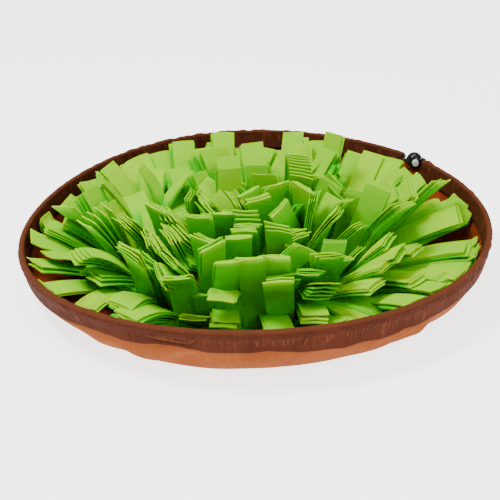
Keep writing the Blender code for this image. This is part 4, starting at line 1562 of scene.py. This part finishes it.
def grown(piece, tree, sizes):
    """Runs a tree on a piece and bakes it. The sizes go in by the identifiers of their sockets."""
    modifier = piece.modifiers.new(tree.name, "NODES")
    modifier.node_group = tree
    for entry in tree.interface.items_tree:
        if entry.item_type == "SOCKET" and entry.in_out == "INPUT" and entry.name in sizes:
            modifier[entry.identifier] = sizes[entry.name]
    return finished(piece)


felt_leaves = leaf_tree(felt)
print("tree:", felt_leaves.name, "with", len(felt_leaves.nodes), "nodes")


# %% Leaves of each ring
SKY_RAYS = [
    Vector((math.sin(high) * math.cos(round_), math.sin(high) * math.sin(round_), math.cos(high)))
    for high, count in ((0.15, 3), (0.6, 6), (1.05, 8))
    for round_ in [2 * math.pi * (k + high) / count for k in range(count)]
]
SKY_REACH = 0.07
SKY_START = 0.0025
SKY_GRAZE = -0.2
CUP_DEPTH = 0.0013
WAVE_DEPTH = 0.0026


def openness(tree, point, face):
    """The share of sky that a place on a leaf sees, on the better of its two sides."""
    best = 0
    for side in (-1, 1):
        start = point + side * SKY_START * face
        rays = [ray for ray in SKY_RAYS if side * ray.dot(face) > SKY_GRAZE]
        free = sum(tree.ray_cast(start, ray, SKY_REACH)[0] is None for ray in rays)
        best = max(best, free / len(SKY_RAYS))
    return best


def leaf_lines(name, leaves, draw):
    """The walks as a mesh of edges, with the attributes that the tree reads."""
    points, edges, through, reach, tint, cups, sky = [], [], [], [], [], [], []
    for leaf in leaves:
        line, faces = walk(leaf)
        shade = draw.random()
        cup = CUP_DEPTH * math.sin(300 * leaf.root.x + 420 * leaf.root.y)
        for k, (point, face) in enumerate(zip(line, faces)):
            if k:
                edges.append((len(points) - 1, len(points)))
            points.append(point)
            through.append(face)
            reach.append(k / (len(line) - 1))
            tint.append(shade)
            cups.append(cup)
            sky.append(openness(crowd, point, face))
    mesh = bpy.data.meshes.new(name)
    mesh.from_pydata(points, edges, [])
    store_points(mesh, "through", np.array(through).ravel(), "FLOAT_VECTOR", "vector")
    for key, values in (("along", reach), ("tint", tint), ("cup", cups), ("open", sky)):
        store_points(mesh, key, values)
    return linked(name, mesh)


def inner_wall(azimuth, height):
    """Radius of the bowl's or the casing's inner face, for arrays of places."""
    shares = np.linspace(0, 1, 41)
    levels = np.linspace(0, RIM_HEIGHT + 0.01, 80)
    table = []
    for spot in range(360):
        radius, rise = wall_line(np.full(41, float(spot)), shares)
        inner = radius - 1.3 * BOWL_CLOTH
        top, crest = casing_line(spot, 0)
        rim_inner = top - CASING_LEAN * np.clip((crest - levels) / DROP, -1, 1) - ARCH - 0.0006
        table.append(np.where(levels > rise[-1] - 0.002, rim_inner, np.interp(levels, rise, inner)))
    row = np.round(np.asarray(azimuth) % 360).astype(int) % 360
    column = np.clip(np.searchsorted(levels, height), 0, len(levels) - 1)
    return np.array(table)[row, column]


def keep_inside(piece):
    """Presses what would pass through the wall or the base back against it."""
    mesh = piece.data
    spots = np.empty(3 * len(mesh.vertices))
    mesh.vertices.foreach_get("co", spots)
    spots = spots.reshape(-1, 3)
    radius = np.hypot(spots[:, 0], spots[:, 1])
    spots[:, 2] = np.maximum(spots[:, 2], TAPE_TOP - TAPE_THICKNESS)
    limit = inner_wall(np.degrees(np.arctan2(spots[:, 1], spots[:, 0])), spots[:, 2])
    below_rim = spots[:, 2] < RIM_HEIGHT + 0.004
    shrink = np.where(below_rim & (radius > limit), limit / np.maximum(radius, 1e-6), 1)
    spots[:, :2] *= shrink[:, None]
    mesh.vertices.foreach_set("co", spots.ravel())
    mesh.update()
    print(piece.name, "points pressed back:", int((shrink < 1).sum()))


every_leaf = [leaf for leaves in leaves_by_ring.values() for leaf in leaves]
crowd = BVHTree.FromPolygons(*strip_faces(every_leaf))
leaf_sizes = {"Width": LEAF_WIDTH, "Thickness": LEAF_THICKNESS, "Wave": WAVE_DEPTH}
tint_draw = random.Random(LEAF_SEED + 1)
for name in NAMES:
    lines = leaf_lines(f"leaves_{name}", leaves_by_ring[name], tint_draw)
    piece = grown(lines, felt_leaves, leaf_sizes)
    keep_inside(piece)
    piece.data.shade_smooth()
    piece.data.set_sharp_from_angle(angle=math.radians(40))
    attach(piece, "root")
    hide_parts(f"fringe_{name}")
    print(piece.name, len(piece.data.polygons), "faces")

# %% [markdown]
# ## The tapes
#
# Each ring of leaves is sewn to a band of felt tape that lies on the base. Little of it shows, but it is
# what the roots stand on.


# %% Tapes
TAPE_WIDTH = 0.022
TAPE_RADII = (0.138, 0.094, 0.053, 0.022)


def tape(name, radius, width, finish):
    """A flat band round the base, with a thickness."""
    columns = 144
    azimuths = np.linspace(0, 360, columns, endpoint=False)[:, None]
    radii = radius + width * np.array([-0.5, -0.25, 0, 0.25, 0.5])[None, :]
    grid = polar(azimuths, radii * np.ones((columns, 1)), BOWL_CLOTH + REST_GAP)
    lengths = run_lengths(grid)
    maps = np.stack([np.radians(azimuths) * radius * np.ones_like(lengths), lengths], -1)
    band = sheet_from_grid(name, grid, maps, True, finish, flip=True)
    thicken(band, TAPE_THICKNESS, 1)
    return finished(band)


for name, radius in zip(NAMES, TAPE_RADII):
    band = tape(f"tape_{name}", radius, TAPE_WIDTH, felt)
    heights = [vertex.co.z for vertex in band.data.vertices]
    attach(band, "root")
    print(band.name, round(1000 * min(heights), 2), "to", round(1000 * max(heights), 2), "mm")

# %% [markdown]
# ## Stitches
#
# A row of machine stitches holds the casing on, just above its outer hem. One small stitch is repeated
# hundreds of times along a line, which is what Geometry Nodes are good at: the tree resamples the line at
# the stitch pitch, puts a rounded bar on each point, turned along the line, and makes the copies real.

# %% Stitch tree
STITCH_PITCH = 0.0042
STITCH_LENGTH = 0.0028
THREAD = 0.00035
# How far above the hem the stitches run, how far they stand proud, and the degrees left free at each mouth.
STITCH_RISE = 0.0022
STITCH_PROUD = 0.0001
STITCH_END = 0.4
STITCH_POINTS = 1400


def stitch_tree(finish):
    """Puts a rounded bar on a line at each stitch, turned along the line."""
    tree, given, output = geometry_tree("stitches", ("Pitch", "Length", "Thread"))
    lines = result(tree, "GeometryNodeMeshToCurve", {"Mesh": given.outputs["Geometry"]})
    inputs = {"Curve": lines, "Length": given.outputs["Pitch"]}
    spaced = result(tree, "GeometryNodeResampleCurve", inputs, mode="LENGTH")
    bar = result(tree, "GeometryNodeMeshUVSphere", {"Segments": 8, "Rings": 5, "Radius": 0.5})
    thread = given.outputs["Thread"]
    size = result(tree, "ShaderNodeCombineXYZ", {"X": thread, "Y": thread, "Z": given.outputs["Length"]})
    tangent = result(tree, "GeometryNodeInputTangent", {})
    aimed = result(tree, "FunctionNodeAlignRotationToVector", {"Vector": tangent}, axis="Z")
    inputs = {"Points": spaced, "Instance": bar, "Rotation": aimed, "Scale": size}
    end_tree(tree, result(tree, "GeometryNodeInstanceOnPoints", inputs), finish, output)
    return tree


def hem_line(above):
    """A line this far above the outer hem, on the casing's outer face."""
    start, end = MOUTH_AZIMUTHS[0] + STITCH_END, MOUTH_AZIMUTHS[1] + 360 - STITCH_END
    azimuths = np.linspace(start, end, STITCH_POINTS)
    depth = between(HEM_DEPTHS, azimuths) / 1000 - above
    radius, height = casing_line(azimuths, depth)
    out = BOWL_CLOTH / 2 + LAYER_GAP + CASING_CLOTH + STITCH_PROUD
    return polar(azimuths, radius + out, height)


stitches = stitch_tree(brown_thread)
line = hem_line(STITCH_RISE)
mesh = bpy.data.meshes.new("casing_stitches")
mesh.from_pydata([tuple(point) for point in line], [(k, k + 1) for k in range(len(line) - 1)], [])
stitch_sizes = {"Pitch": STITCH_PITCH, "Length": STITCH_LENGTH, "Thread": THREAD}
row = grown(linked("casing_stitches", mesh), stitches, stitch_sizes)
row.data.shade_smooth()
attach(row, "root")
print("stitch faces:", len(row.data.polygons))

# %% [markdown]
# ## Floor and light
#
# The studio is plain: a pale floor, one large soft light from the upper left, a weaker one from the right,
# and an even pale sky that fills the shadows.

# %% Studio
FLOOR_SIZE = 12
FLOOR_GLOW = 2.7
SKY_GLOW = 0.31
WHITE = (1, 1, 1, 1)
shine = {"Emission_Color": WHITE, "Emission_Strength": FLOOR_GLOW}
floor_finish = Finish("floor", Base_Color=(0.93, 0.93, 0.93, 1), Roughness=0.9, **shine)
corners = [(-1, -1, 0), (1, -1, 0), (1, 1, 0), (-1, 1, 0)]
floor_points = [Vector(corner) * FLOOR_SIZE / 2 - Vector((0, 0, 0.0002)) for corner in corners]
floor = mesh_piece("floor", floor_points, [(0, 1, 2, 3)], floor_finish)


def soft_light(name, place, size, power):
    lamp = bpy.data.lights.new(name, "AREA")
    lamp.shape = "DISK"
    lamp.size = size
    lamp.energy = power
    light = linked(name, lamp)
    light.location = place
    light.rotation_euler = (AIM - Vector(place)).to_track_quat("-Z", "Y").to_euler()


soft_light("key", (-0.7, -0.1, 1.7), 0.6, 37)
soft_light("fill", (0.9, -1.2, 1.2), 1.2, 18)
soft_light("top", (0.2, 0.4, 1.8), 1.0, 12)
sky = bpy.data.worlds.new("sky")
bpy.context.scene.world = sky
sky.use_nodes = True
background = sky.node_tree.nodes["Background"]
background.inputs["Color"].default_value = WHITE
background.inputs["Strength"].default_value = SKY_GLOW
print("lights: key, fill, top and sky")
